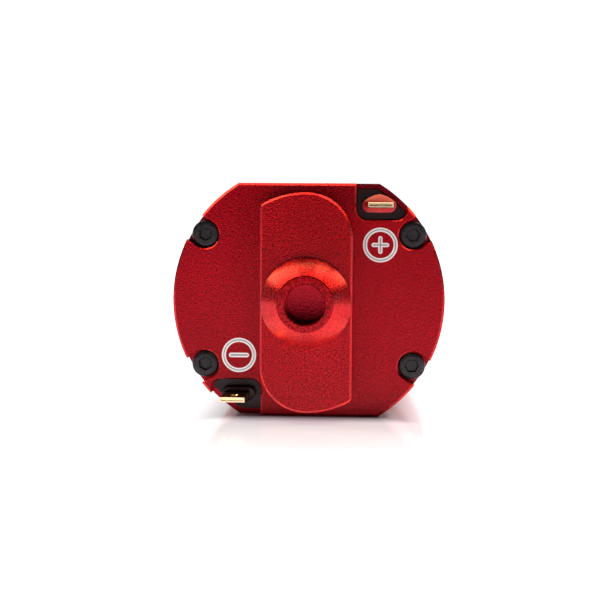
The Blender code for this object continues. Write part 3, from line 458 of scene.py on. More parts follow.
# ---- materials
class Shade:
    """Builds one node material in object coordinates, in millimetres."""

    def __init__(self, name):
        self.material = bpy.data.materials.new(name)
        self.material.use_nodes = True
        self.tree = self.material.node_tree
        metres = self.node("TexCoord", {}, "Object")
        self.place = self.node("VectorMath", {0: metres, "Scale": MM}, 0, operation="SCALE")

    def fill(self, socket, value):
        if isinstance(value, bpy.types.NodeSocket):
            self.tree.links.new(value, socket)
        else:
            socket.default_value = (*value, 1) if socket.type == "RGBA" else value

    def node(self, kind, inputs, output, **settings):
        """Adds a node with its inputs linked or filled, and returns one of its outputs."""
        node = self.tree.nodes.new("ShaderNode" + kind)
        for key, value in settings.items():
            setattr(node, key, value)
        for key, value in inputs.items():
            self.fill(node.inputs[key], value)
        return node.outputs[output]

    def stretched(self, factors):
        return self.node("VectorMath", {0: self.place, 1: factors}, 0, operation="MULTIPLY")

    def length(self, vector):
        return self.node("VectorMath", {0: vector}, "Value", operation="LENGTH")

    def noise(self, scale, detail=2, rough=0.5, vector=None):
        return self.node("TexNoise", {"Scale": scale, "Detail": detail, "Roughness": rough,
                                      "Vector": vector or self.place}, "Fac")

    def ramp(self, source, low, high, to_low=0.0, to_high=1.0):
        return self.node("MapRange", {"Value": source, "From Min": low, "From Max": high,
                                      "To Min": to_low, "To Max": to_high}, "Result")

    def math(self, operation, first, second=0.0):
        return self.node("Math", {0: first, 1: second}, 0, operation=operation)

    def mix(self, factor, first, second):
        return self.node("Mix", {"Factor": factor, 6: first, 7: second}, 2, data_type="RGBA")

    def bump(self, height, strength, distance, below=None):
        inputs = {"Strength": strength, "Distance": distance / MM, "Height": height}
        if below is not None:
            inputs["Normal"] = below
        return self.node("Bump", inputs, "Normal")

    def done(self, colour, rough, **values):
        """Fills the shader's inputs and returns the material."""
        shader = self.tree.nodes["Principled BSDF"]
        self.fill(shader.inputs["Base Color"], colour)
        self.fill(shader.inputs["Roughness"], rough)
        for key, value in values.items():
            self.fill(shader.inputs[key.replace("_", " ")], value)
        return self.material


def make_red(name, dull, bright, smooth, rough_top, strength, turned_marks=0.0, coat=0.2):
    """Aluminium anodised red, blasted to an even grain or turned with the tool's rings."""
    s = Shade(name)
    fine = s.noise(7.0, 2, 0.6)
    coarse = s.noise(3.0)
    patch = s.noise(0.09)
    grain = s.math("ADD", fine, s.math("MULTIPLY", coarse, 0.5))
    colour = s.mix(s.ramp(fine, 0.34, 0.68), dull, bright)
    colour = s.mix(s.ramp(patch, 0.35, 0.7, 0.0, 0.25), colour, dull)
    rough = s.math("ADD", s.ramp(fine, 0.3, 0.7, smooth, rough_top),
                   s.ramp(patch, 0.3, 0.7, -0.03, 0.03))
    normal = s.bump(grain, strength, 0.075)
    if turned_marks:
        rings = s.math("MULTIPLY", s.length(s.stretched((1, 0, 1))), 42.0)
        normal = s.bump(s.math("SINE", rings), turned_marks, 0.01, normal)
    return s.done(colour, rough, Normal=normal, Metallic=1.0, Coat_Weight=coat, Coat_Roughness=0.2,
                  Coat_IOR=1.5)


def make_metal(name, colour, dark, rough, grain, bump, depth, stretch=None, metallic=1.0):
    """A metal with a fine grain, stretched where it was turned, and duller patches."""
    s = Shade(name)
    vector = s.stretched(stretch) if stretch else None
    fine = s.noise(grain, 3, 0.6, vector)
    patch = s.noise(0.25, 3, 0.55)
    mixed = s.mix(s.ramp(fine, 0.3, 0.7), dark, colour)
    mixed = s.mix(s.ramp(patch, 0.4, 0.75, 0.0, 0.4), mixed, dark)
    rough_map = s.math("ADD", s.ramp(fine, 0.3, 0.7, rough - 0.05, rough + 0.08),
                       s.ramp(patch, 0.3, 0.7, -0.04, 0.06))
    return s.done(mixed, rough_map, Normal=s.bump(fine, bump, depth), Metallic=metallic)


def make_plastic(name, colour, light, rough, grain=7.0, bump=0.2, settings=()):
    """A moulded or fired surface with a fine pebble grain."""
    s = Shade(name)
    fine = s.noise(grain)
    patch = s.noise(0.5, 3, 0.5)
    mixed = s.mix(s.ramp(fine, 0.35, 0.7), colour, light)
    mixed = s.mix(s.ramp(patch, 0.4, 0.7, 0.0, 0.3), mixed, colour)
    rough_map = s.ramp(patch, 0.3, 0.7, rough - 0.06, rough + 0.08)
    cells = s.node("TexVoronoi", {"Scale": grain, "Vector": s.place}, "Distance")
    normal = s.bump(s.math("ADD", fine, cells), bump, 0.015)
    return s.done(mixed, rough_map, Normal=normal, **dict(settings))


def make_board():
    """Green solder mask over copper tracks, with the glass weave just showing."""
    s = Shade("circuit_board_mask")
    tracks = s.node("TexBrick", {"Scale": 1.0, "Mortar Size": 0.12, "Brick Width": 1.9,
                                 "Row Height": 0.9, "Vector": s.place}, "Fac", offset=0.5)
    weave = s.noise(5.0, 1, 0.4)
    patch = s.noise(0.35)
    mask = s.mix(s.ramp(patch, 0.35, 0.65), (0.006, 0.045, 0.018), (0.012, 0.085, 0.03))
    colour = s.mix(tracks, mask, (0.03, 0.15, 0.055))
    normal = s.bump(s.math("ADD", tracks, s.math("MULTIPLY", weave, 0.3)), 0.5, 0.03)
    return s.done(colour, s.ramp(weave, 0.3, 0.7, 0.32, 0.5), Normal=normal, Coat_Weight=0.4,
                  Coat_Roughness=0.15)


def make_laminations():
    """A stack of 0.2 mm sheets, with a darker varnished edge between them."""
    s = Shade("laminated_steel")
    sheets = s.node("TexWave", {"Scale": 0.785, "Distortion": 0.1, "Vector": s.place}, "Fac",
                    wave_type="BANDS", bands_direction="Y", wave_profile="SAW")
    fine = s.noise(5.0, 3, 0.6)
    layer = s.ramp(sheets, 0.0, 0.25)
    colour = s.mix(layer, (0.06, 0.058, 0.055), (0.27, 0.27, 0.28))
    colour = s.mix(s.ramp(fine, 0.45, 0.75, 0.0, 0.5), colour, (0.17, 0.155, 0.14))
    return s.done(colour, s.ramp(fine, 0.3, 0.7, 0.36, 0.55), Normal=s.bump(layer, 0.5, 0.03),
                  Metallic=0.85)


def make_mark():
    """Laser-engraved line: bared, frosted aluminium."""
    s = Shade("engraved_line")
    fine = s.noise(7.0, 2, 0.6)
    colour = s.mix(s.ramp(fine, 0.3, 0.7), (0.86, 0.82, 0.81), (0.99, 0.95, 0.94))
    return s.done(colour, s.ramp(fine, 0.3, 0.7, 0.36, 0.5), Normal=s.bump(fine, 0.4, 0.02),
                  Metallic=1.0)


METALS = (  # slot, name, colour, duller, roughness, grain, bump, its depth, stretch, metallic
    ("black_oxide_steel", "black_oxide_finish", (0.055, 0.05, 0.053), (0.02, 0.018, 0.019), 0.36,
     5.0, 0.35, 0.02, None, 0.75),
    ("gold_plate", "gold_plating", (0.93, 0.76, 0.47), (0.8, 0.59, 0.31), 0.14, 5.0, 0.04, 0.01),
    ("aluminium", "machined_aluminium", (0.72, 0.72, 0.73), (0.52, 0.52, 0.53), 0.33, 3.0, 0.3,
     0.015, (1, 9, 1)),
    ("enamelled_copper", "enamelled_copper_wire", (0.72, 0.26, 0.1), (0.45, 0.13, 0.04), 0.28,
     3.0, 0.2, 0.01),
    ("plated_steel", "nickel_plated_steel", (0.62, 0.61, 0.59), (0.44, 0.43, 0.42), 0.26, 2.6,
     0.25, 0.012, (1, 6, 1)),
    ("hardened_steel", "ground_steel", (0.48, 0.48, 0.49), (0.34, 0.34, 0.35), 0.25, 2.5, 0.2,
     0.01, (1, 12, 1)),
    ("magnet_plating", "nickel_plated_magnet", (0.5, 0.49, 0.47), (0.34, 0.33, 0.32), 0.3, 2.0,
     0.25, 0.012),
)
PLASTICS = (  # slot, name, colour, lighter, roughness, grain, bump and more
    # black plastic, with a faint red tint that is a painted reflection of the red cap round it
    ("black_plastic", "black_moulding_painted_red_reflection", (0.026, 0.006, 0.008), (0.04, 0.009, 0.012), 0.25, 7.0,
     0.2, {"Specular_IOR_Level": 0.25}),
    ("red_plastic", "red_moulding", (0.46, 0.006, 0.01), (0.58, 0.014, 0.018), 0.3, 7.0, 0.2,
     {"Coat_Weight": 0.3, "Coat_Roughness": 0.15}),
    ("chip_resin", "chip_epoxy", (0.012, 0.012, 0.013), (0.03, 0.03, 0.031), 0.55, 9.0, 0.35),
    ("capacitor_body", "ceramic_capacitor", (0.34, 0.2, 0.08), (0.46, 0.3, 0.13), 0.5, 5.0, 0.3),
    ("lead_insulation", "silicone_insulation", (0.014, 0.013, 0.013), (0.03, 0.028, 0.028), 0.5,
     6.0, 0.3),
    ("end_insulator", "epoxy_insulator", (0.02, 0.09, 0.05), (0.04, 0.16, 0.09), 0.5, 4.0, 0.3),
)
LOOKS = {slot: make_metal(*row) for slot, *row in METALS}
LOOKS.update((slot, make_plastic(*row)) for slot, *row in PLASTICS)
LOOKS["circuit_board"] = make_board()
LOOKS["electrical_steel"] = make_laminations()
LOOKS["red_anodised"] = make_red("red_anodised_blasted", (0.2, 0.001, 0.005),
                                 (0.64, 0.004, 0.015), 0.28, 0.44, 1.2)
RED_TURNED = make_red("red_anodised_turned", (0.3, 0.001, 0.005), (0.8, 0.01, 0.014), 0.2, 0.28,
                      0.3, 0.3, 0.3)
RED_BAR = make_red("red_anodised_bar", (0.14, 0.001, 0.003), (0.79, 0.009, 0.018), 0.26, 0.44, 1.9)
# the thrust hole and pockets: a glossier machined finish, with its red also painted darker as shade
# of these recesses
RED_MACHINED_SHADED = make_red("red_anodised_machined_shaded", (0.21, 0.003, 0.01), (0.34, 0.006, 0.014), 0.14,
                        0.22, 0.25, coat=0.1)
GOLD_TIP = make_metal("gold_plating_sheared", (0.97, 0.86, 0.62), (0.88, 0.72, 0.46), 0.3, 5.0,
                      0.05, 0.01)
# a lighter copy of the red moulding: painted light from above on the positive collar's upward faces
RED_PAINTED_TOP_LIGHT = make_plastic("red_moulding_painted_top_light", (0.86, 0.11, 0.11), (0.96, 0.16, 0.15), 0.3)
MARK = make_mark()
# the engraved lines' duller core: painted shade, a darker copy of the same bared aluminium
MARK_PAINTED_SHADE = make_metal("engraved_line_painted_shade", (0.46, 0.44, 0.44), (0.32, 0.3, 0.3), 0.45, 7.0, 0.4, 0.02)


# ---- rear cap
def screw_places():
    angles = [SCREW_ANGLE, 180 - SCREW_ANGLE, 180 + SCREW_ANGLE, 360 - SCREW_ANGLE]
    return [(angle, turn([(SCREW_CIRCLE, 0)], angle)[0]) for angle in angles]


def turned_outline(outline, degrees, shift=(0, 0)):
    return lambda grow: turn(outline(grow), degrees, shift)


def pocket_plug(side, grow, inset, low, high):
    """A pocket's outline, grown sideways and kept inside the cap's rim."""
    plug = prism(turn(pocket_outline(grow), side), low, high)
    rim = prism(body_outline(inset), low - BEYOND, high + BEYOND)
    return combine(plug, [rim], "INTERSECT")


def foot_block(side, clear, low, high):
    """The room in the cap for the bent foot of a terminal's strip."""
    corners = rectangle(FOOT_LEFT + clear, FOOT_BOTTOM + clear, FOOT_RIGHT - clear,
                        FOOT_BACK - clear)
    return prism(turn(corners, side), low, high)


def make_rear_cap():
    cap = prism(body_outline, CAP_JOINT, CAP_FACE, EDGE, EDGE, 2)
    bar = prism(bar_outline, CAP_FACE - BEYOND, BAR_TOP, 0.0, BAR_EDGE, 2)
    step = BAR_TOP + BOSS_STEP
    boss = to_axis([(BOSS_CREST, BOSS_TOP), (BOSS_BASE, step), (BOSS_BASE, BAR_TOP - BEYOND)])
    rim = REAR_BORE - 2 * FIT
    spigot = to_axis([(rim, CAP_JOINT + BEYOND), (rim, CAP_LOW.z)])
    combine(cap, [bar, turned(boss, 0.06, 128), turned(spigot)], "UNION")
    recess = [(RECESS_RADIUS, RECESS_TOP), (RECESS_RADIUS, CAP_LOW.z - BEYOND)]
    tools = [revolve(to_axis(recess))]
    for side in (0, 180):
        tools += [flared_cutter(turned_outline(pocket_outline, side), CAP_SEAT, CAP_FACE),
                  pocket_plug(side, -FIT, POCKET_RIM, CAP_JOINT - BEYOND, CAP_SEAT + BEYOND),
                  foot_block(side, 0.0, CAP_JOINT - 1.2 * BEYOND, FOOT_CEILING)]
    for angle, spot in screw_places():
        tools += [flared_cutter(turned_outline(notch_outline, angle, spot), CAP_SEAT, CAP_FACE),
                  rod(SHANK_RADIUS + 0.17, CAP_JOINT - BEYOND, CAP_SEAT + BEYOND, spot)]
    mouth, bottom = THRUST_RADIUS + THRUST_EDGE, BOSS_TOP - THRUST_DEPTH
    thrust = [(mouth, BOSS_TOP + BEYOND), (mouth, BOSS_TOP),
              (THRUST_RADIUS, BOSS_TOP - THRUST_EDGE), (THRUST_RADIUS, bottom)]
    tools.append(turned(to_axis(thrust), 0.03))
    combine(cap, tools)
    finish_piece(cap, "rear_cap", looks=[LOOKS["red_anodised"], RED_TURNED, RED_MACHINED_SHADED, RED_BAR])
    paint(cap, lambda face: cap_look(cap, face))


def cap_look(cap, face):
    """Which of the cap's looks a face takes: blasted 0, turned edge 1, machined 2 (the hole and
    pockets, its red painted darker as shade) or bar 3.
    """
    x, y, z = face.center * MM
    station = -y
    corners = [cap.data.vertices[i].co * MM for i in face.vertices]
    farthest = max(hypot(corner.x, corner.z) for corner in corners)
    in_hole = station > CAP_FACE and farthest < THRUST_RADIUS + 0.02
    in_pocket = (CAP_SEAT - 0.1 < station < CAP_FACE - 0.2 and abs(z) < FLAT_HALF - 0.01
                 and hypot(x, z) < BODY_RADIUS - 0.02)
    # the hole and pockets take the darker red, which is painted shade of the recesses
    if in_hole or in_pocket:
        return 2
    if 0.3 < abs(face.normal.y) < 0.95 and station > CAP_FACE - EDGE:
        return 1
    return 3 if station > BAR_TOP - 0.02 else 0


def ring_between(outer, inner, low, high, edge):
    """A flat band between two outlines with the same number of points."""
    share = edge / (Vector(inner[0]) - Vector(outer[0])).length
    towards, back = ([tuple(Vector(o).lerp(Vector(i), t)) for o, i in zip(outer, inner)]
                     for t in (share, 1 - share))
    verts = []
    for points, station in ((outer, low), (outer, high - edge), (towards, high), (back, high),
                            (inner, high - edge), (inner, low)):
        verts += flat_ring(points, station)
    return verts, quads(6, len(outer), True)


def make_marks():
    """The + and - signs, each in a ring: bright line either side of a duller, painted-shade core.
    """
    top, low = CAP_FACE + LINE_PROUD, CAP_FACE - 0.05
    for sign, (centre, arms, reach, half) in SIGNS.items():
        edge, inside = (turn(sign_outline(arms, reach - inset, half - inset), 0, centre)
                        for inset in (0.0, LINE_WIDTH))
        bands = [(circle(outer, 96, centre), circle(inner, 96, centre), dull)
                 for outer, inner, dull in BANDS]
        verts, faces, core = [], [], []
        for outer, inner, dull in bands + [(edge, inside, 0)]:
            more, sides = ring_between(outer, inner, low, top - LINE_CORE * dull, 0.004)
            faces += [tuple(len(verts) + i for i in side) for side in sides]
            verts += more
            # bands marked 1 take the painted-shade look
            core += [dull] * len(sides)
        faces.append(tuple(range(len(verts), len(verts) + len(inside))))
        verts += flat_ring(inside, top - LINE_CORE)
        core.append(1)
        mesh = new_mesh("mark", verts, faces)
        mesh.polygons.foreach_set("material_index", core)
        with editing(mesh) as work:
            bmesh.ops.recalc_face_normals(work, faces=work.faces)
            for face in work.faces:
                if len(face.verts) > 4 and face.normal.z < 0:
                    face.normal_flip()
        lines = add_object("mark", mesh, WORK)
        finish_piece(lines, f"polarity_mark_{sign}", looks=[MARK, MARK_PAINTED_SHADE])


def sign_outline(arms, reach, half):
    arm = arc((reach - half, 0), half, -90, 90, 12) + [(half, half)] * (arms > 2)
    return [point for i in range(arms) for point in turn(arm, 360 * i / arms)]


def make_screws():
    seat, wide, shank = CAP_SEAT + FIT, HEAD_RADIUS, SHANK_RADIUS
    top, end, thread = seat + HEAD_HEIGHT, SCREW_LOW.z, seat - PLAIN_SHANK
    head = [(SOCKET_HALF + 0.3, top), (wide - 0.16, top - 0.02),
            (wide - 0.05, top - 0.08), (wide, top - 0.22), (wide, seat + 0.1),
            (wide - 0.1, seat), (shank, seat), (shank, thread)]
    pitch, root = THREAD_PITCH, shank - THREAD_DEPTH
    while thread - pitch > end + 0.45:
        head += [(root, thread - 0.42 * pitch), (root, thread - 0.55 * pitch),
                 (shank, thread - 0.94 * pitch), (shank, thread - pitch)]
        thread -= pitch
    head += [(root, thread - 0.3), (root - 0.1, end)]
    for number, (angle, (x, y)) in enumerate(screw_places(), 1):
        screw = revolve(to_axis(head), 64)
        socket = tower(lambda grow: circle((SOCKET_HALF + grow) / HEXAGON, 6),
                       ((-0.1, top - SOCKET_DEPTH), (-0.1, top - 0.12), (0, top - 0.02),
                        (0.05, top + BEYOND)))
        combine(screw, [socket])
        place(screw, Matrix.Translation((x, y, 0)) @ about_shaft(angle * 1.7 + 11 * number))
        finish_piece(screw, f"cap_screw_{number}", sharp=28)


# ---- terminals
def strip_solid(side, gap=0.0):
    """The bent strip from a blade down to the power board, or with a gap the room for it."""
    thin = BLADE_THICK / 2 + gap
    end, low, high, top = BLADE_LOW.z, FOOT_LOW - gap, FOOT_TOP + gap, CARRIER_PAD + 0.2
    outer, inner = BLADE_Y, TAIL_Y
    outline = [(inner - thin, end - gap), (inner + thin, end - gap), (inner + thin, low),
               (outer + thin, low), (outer + thin, top), (outer - thin, top),
               (outer - thin, high), (inner - thin, high)]
    outline = outline if gap else soften(outline, 0.12, 4)
    left = BLADE_X - BLADE_WIDTH / 2
    strip = prism(outline, left - gap, left + STRIP_WIDTH + gap)
    return place(strip, about_shaft(side) @ TURN_OUT)


def blade_section(grow):
    corners = rounded_rectangle(BLADE_WIDTH / 2 + grow, BLADE_THICK / 2 + grow, BLADE_CORNER)
    return turn(corners, 0, (BLADE_X, BLADE_Y))


def collar_slope():
    """Takes the collar's arched half down in a slope from the blade to the rim."""
    start, top = BLADE_Y + BLADE_THICK / 2 + 2 * FIT, SHIELD_TOP
    section = [(start, top), (start + SLOPE_REACH, top - SLOPE_DROP),
               (start + SLOPE_REACH, top + BEYOND), (start, top + BEYOND)]
    ends = [[(x, y, z) for y, z in section] for x in (BLADE_X - SLOPE_HALF, BLADE_X + SLOPE_HALF)]
    return loft(ends)


def make_blade(sign, side):
    thin, tip = BLADE_THICK / 2, BLADE_HIGH.z
    levels = [(0, CARRIER_PAD + FIT)] + [(-inset, tip - drop) for inset, drop in BLADE_TIP_EDGE]
    blade = place(tower(blade_section, levels), about_shaft(side))
    combine(blade, [strip_solid(side)], "UNION")
    hole = tower(lambda grow: circle(BLADE_HOLE_RADIUS + grow, 40),
                 ((0.09, thin + 0.5), (0.09, thin + 0.001), (0, thin - 0.09), (0, 0.09 - thin),
                  (0.09, -thin - 0.001), (0.09, -thin - 0.5)))
    spot = turn([(BLADE_X, BLADE_Y)], side)[0]
    stand = Matrix.Translation((*spot, BLADE_HOLE_STATION)) @ Matrix.Rotation(pi / 2, 4, "X")
    combine(blade, [place(hole, stand)])
    finish_piece(blade, f"terminal_{sign}", looks=[LOOKS["gold_plate"], GOLD_TIP], sharp=28)
    paint(blade, lambda face: -face.center.y * MM > tip - 0.1)


def make_collar(sign, side):
    low, top = CARRIER_PAD + FIT, SHIELD_TOP
    outline = turned_outline(collar_outline, 0, (COLLAR_X, COLLAR_Y))
    sleeve = prism(outline, low, top, 0.04, 0.12, 1.15)
    opening = flared_cutter(lambda grow: blade_section(FIT + grow), low - BEYOND, top, 0.02)
    place(combine(sleeve, [opening, collar_slope()]), about_shaft(side))
    node = f"terminal_collar_{sign}"
    look = LOOKS[SLOTS[node]]
    # the positive collar's faces that look up and back take the lighter red, painted light from the
    # lamps above
    arched, outward = (RED_PAINTED_TOP_LIGHT, 1) if sign == "positive" else (look, -1)
    finish_piece(sleeve, node, looks=[look, arched])
    paint(sleeve, lambda face: face.normal.y < -0.3 and face.normal.z * outward > 0.3)


def make_carrier():
    """The moulded ring under the cap, with a pad in each pocket and a cover over each strip."""
    low, outer, top = CARRIER_LOW, RECESS_RADIUS - 2 * FIT, RECESS_TOP - FIT
    carrier = turned(rectangle(CARRIER_INNER, top, outer, low))
    cavities = []
    for side in (0, 180):
        pad = pocket_plug(side, -2 * FIT, POCKET_RIM + 2 * FIT, low, CARRIER_PAD)
        cover = foot_block(side, 2 * FIT, low + FIT, FOOT_CEILING - FIT)
        combine(carrier, [pad, cover], "UNION")
        cavities.append(strip_solid(side, FIT))
    combine(carrier, cavities)
    bevel = carrier.modifiers.new("bevel", "BEVEL")
    bevel.width, bevel.segments, bevel.limit_method = 0.05, 2, "ANGLE"
    bevel.angle_limit = radians(60)
    bake(carrier)
    finish_piece(carrier, "terminal_carrier")


# ---- housing
def window_solid(angle):
    """A slot with round ends through a round side, with a broken edge that follows the curve."""
    rear, front = WINDOW_REAR - WINDOW_HALF, WINDOW_FRONT + WINDOW_HALF
    rings = []
    for grow, depth in ((0, FRONT_BORE - 1.5 * BEYOND - BODY_RADIUS), (0, -0.1), (0.03, -0.04),
                        (0.1, 0.001), (0.1, BEYOND)):
        half, ring = WINDOW_HALF + grow, []
        for x, y in arc((0, rear), half, 0, 180, 24) + arc((0, front), half, 180, 360, 24):
            surface = sqrt(BODY_RADIUS**2 - x**2) if depth > -1 else BODY_RADIUS
            ring.append((x, y, surface + depth))
        rings.append(ring)
    return place(loft(rings), radial(angle, 0, 0))


def thread_profile(radius, depth, pitch, low, high):
    """A cutter's outline for a tapped hole open at low, with a countersunk mouth."""
    points = [(radius, high)]
    station = high - 0.3
    while station - pitch > low + 0.35:
        points += [(radius, station), (radius + depth, station - pitch / 2)]
        station -= pitch
    return to_axis(points + [(radius, station), (radius, low + 0.3), (radius + 0.3, low),
                             (radius + 0.3, low - BEYOND)])


def fin_profile(middle):
    """A cooling groove's section: flat floor, rounded foot and a broken edge at the brim."""
    wide, brim, floor, foot = FIN_WIDTH / 2, BODY_RADIUS, BODY_RADIUS - FIN_DEPTH, 0.2
    profile = [(brim + BEYOND, middle + wide + 0.08), (brim + 0.001, middle + wide + 0.08),
               (brim - 0.05, middle + wide + 0.02), (brim - 0.1, middle + wide)]
    for k in range(5):
        angle = pi / 2 * k / 4
        profile.append((floor + foot - foot * sin(angle), middle + wide - foot + foot * cos(angle)))
    return profile + [(r, 2 * middle - z) for r, z in profile[::-1]]


def make_housing():
    can = prism(body_outline, CAN_FRONT, CAN_HIGH.z, EDGE, EDGE, 2)
    end = CAN_LOW.z
    neck = [(NECK_RADIUS, CAN_FRONT + BEYOND), (NECK_RADIUS, end + EDGE), (NECK_RADIUS - EDGE, end)]
    combine(can, [turned(to_axis(neck), 0.05, 128)], "UNION")
    seat, groove, mouth = BEARING_SEAT, BEARING_SEAT + RING_GROOVE_DEPTH, NECK_MOUTH + 0.2
    bore = [(REAR_BORE, CAP_JOINT + BEYOND), (REAR_BORE, BORE_STEP),
            (FRONT_BORE, BORE_STEP), (FRONT_BORE, WALL_INNER), (seat, WALL_INNER),
            (seat, RING_GROOVE_REAR), (groove, RING_GROOVE_REAR), (groove, RING_GROOVE_FRONT),
            (seat, RING_GROOVE_FRONT), (seat, BEARING_STOP), (NECK_MOUTH, BEARING_STOP),
            (NECK_MOUTH, end + 0.2), (mouth, end), (mouth, end - BEYOND)]
    tools = [revolve(to_axis(bore), 128)]
    for i in range(FIN_COUNT):
        profile = fin_profile(FIN_FIRST - i * FIN_PITCH)
        tools += [revolve(profile, 72, side - FIN_SPREAD, side + FIN_SPREAD) for side in (0, 180)]
    tools += [window_solid(side + offset) for side in (0, 180)
              for offset in (-WINDOW_SPREAD, 0, WINDOW_SPREAD)]
    for angle in (45, 135, 225, 315):
        vent = flared_cutter(turned_outline(kidney_outline, angle),
                             -WALL_INNER - BEYOND, -CAN_FRONT)
        tools.append(place(vent, Matrix.Scale(-1, 4, (0, 0, 1))))
        with editing(vent.data) as work:
            bmesh.ops.recalc_face_normals(work, faces=work.faces)
    thread = thread_profile(TAPPED_RADIUS, 0.14, 0.4, CAN_FRONT, WALL_INNER + BEYOND)
    tools += [place(revolve(thread, 40), Matrix.Translation((x, 0, 0)))
              for x in (TAPPED_X, -TAPPED_X)]
    tools += [rod(SHANK_RADIUS + FIT, SCREW_LOW.z - 0.5, CAP_JOINT + BEYOND, spot)
              for _, spot in screw_places()]
    combine(can, tools)
    finish_piece(can, "housing")


# ---- rotor
def make_shaft():
    rear, tip, side, edge = SHAFT_HIGH.z, SHAFT_LOW.z, SHAFT_RADIUS, SHAFT_EDGE
    groove, groove_rear, groove_front = CLIP_GROOVE_RADIUS, CLIP_GROOVE_REAR, CLIP_GROOVE_FRONT
    profile = [(side - edge, rear), (side, rear - edge), (side, groove_rear), (groove, groove_rear),
               (groove, groove_front), (side, groove_front), (side, tip + edge), (side - edge, tip)]
    shaft = turned(to_axis(profile), 0.04)
    combine(shaft, [prism(rectangle(SHAFT_FLAT, -3, 3, 3), tip - BEYOND, FLAT_REAR)])
    finish_piece(shaft, "shaft", TURNING)


def make_pinion():
    front, rear, back, tip = PINION_LOW.z, PINION_HIGH.z, TEETH_REAR, TOOTH_TIP
    teeth = prism(gear_outline(), front, back)
    trim = [(tip - 0.25, back + BEYOND), (tip - 0.25, back), (tip + 0.05, back - 0.3),
            (tip + 0.2, back - 0.45), (tip + 0.2, front + 0.9), (tip - 0.8, front - 0.1)]
    combine(teeth, [revolve(to_axis(trim), 128)], "INTERSECT")
    collar = [(PINION_COLLAR - 0.2, rear), (PINION_COLLAR, rear - 0.2),
              (PINION_COLLAR, back + 0.25), (PINION_NECK, back), (PINION_NECK, back - 0.5)]
    combine(teeth, [turned(to_axis(collar), 0.05)], "UNION")
    inner, mouth = SHAFT_RADIUS + FIT, SHAFT_RADIUS + FIT + 0.2
    bore = [(mouth, rear + BEYOND), (mouth, rear), (inner, rear - 0.2), (inner, front + 0.2),
            (mouth, front), (mouth, front - BEYOND)]
    hole = tower(lambda radius: circle(radius, 40),
                 ((1.25, 0.0), (1.25, 3.38), (1.4, 3.6), (1.4, 5.0)))
    place(hole, radial(0, 0, (rear + back) / 2))
    combine(teeth, [revolve(to_axis(bore)), hole])
    finish_piece(teeth, "pinion", TURNING, sharp=30)


def make_set_screw(node, angle, radius, inner, outer, station, half):
    """A socket set screw that points outwards from the shaft."""
    height = outer - 0.16
    profile = [(half + 0.25, outer), (radius, height)]
    while height - THREAD_PITCH > inner + 0.35:
        profile += [(radius - 0.14, height - THREAD_PITCH / 2), (radius, height - THREAD_PITCH)]
        height -= THREAD_PITCH
    screw = revolve(to_axis(profile + [(radius - 0.3, inner)]), 48)
    socket = tower(lambda grow: circle(half / HEXAGON + grow, 6),
                   ((0, outer - 0.75), (0, outer - 0.06), (0.08, outer + BEYOND)))
    combine(screw, [socket])
    place(screw, radial(angle, 0, station))
    finish_piece(screw, node, TURNING, sharp=28)


def make_bell():
    low, high, radius, rim = BELL_LOW.z, BELL_HIGH.z, BELL_HIGH.x, BELL_BORE - FIT
    ring = turned(rectangle(BELL_BORE, high, radius, low), 0.18, 128)
    finish_piece(ring, "flux_ring", TURNING)
    plate, shaft_bore, nose = low - FIT, SHAFT_RADIUS + FIT, HUB_LOW.z
    profile = [(rim, HUB_HIGH.z), (rim, plate), (radius, plate), (radius, HUB_FRONT),
               (HUB_NECK, HUB_FRONT), (HUB_NECK, HUB_NECK_FRONT), (HUB_NOSE, HUB_NECK_FRONT),
               (HUB_NOSE, nose), (shaft_bore, nose), (shaft_bore, plate), (HUB_BORE, plate),
               (HUB_BORE, HUB_HIGH.z)]
    hub = turned(profile, 0.1, 128)
    middle = (HUB_FRONT + HUB_NECK_FRONT) / 2
    tools = [place(rod(0.85, 1.0, 5.0), radial(90, 0, middle))]
    circle_radius, count = HUB_VENTS
    for i in range(count):
        spot = turn([(circle_radius, 0)], 30 + 360 * i / count)[0]
        tools.append(tower(lambda grow: circle(HUB_VENT + grow, 40, spot),
                           ((0.12, HUB_FRONT - BEYOND), (0.12, HUB_FRONT), (0, HUB_FRONT + 0.12),
                            (0, low + BEYOND))))
    combine(hub, tools)
    finish_piece(hub, "rotor_hub", TURNING)


def make_bearing_balls():
    """Each bearing's row of balls in its ribbon cage, a little clear of the races."""
    for bearing, ball, pitch, count in BEARINGS:
        low, high = span(f"{bearing}_balls")
        middle, wall = (low.z + high.z) / 2, 0.28 * ball
        ribbon = rectangle(pitch - wall, middle + wall, pitch + wall, middle - wall)
        row = turned(ribbon, 0.05)
        balls = []
        for i in range(count):
            x, y = turn([(pitch, 0)], 360 * i / count)[0]
            sphere = revolve(arc((0, 0), ball, 90, -90, 16), 32)
            balls.append(place(sphere, Matrix.Translation((x, y, middle))))
        combine(row, balls, "UNION")
        finish_piece(row, f"{bearing}_balls", f"{bearing}_cage")


# ---- studio
CAMERA_PLACE, CAMERA_AIM = (0.00693, -0.1697, 0.0093), (-0.00084, -0.0297, 0.00002)
CAMERA_ROLL, CAMERA_LENS, SENSOR = 0.34, 82.03, 36
DOME_RADIUS, FLOOR_RADIUS, BACKDROP_TOP, BACKDROP_STEPS = 1.5, 0.62, 0.34, 48
FLOOR = CAD_BOX[0][2]
FLOOR_DROP = 0.00002  # keeps the floor just clear of the flat that lies on it
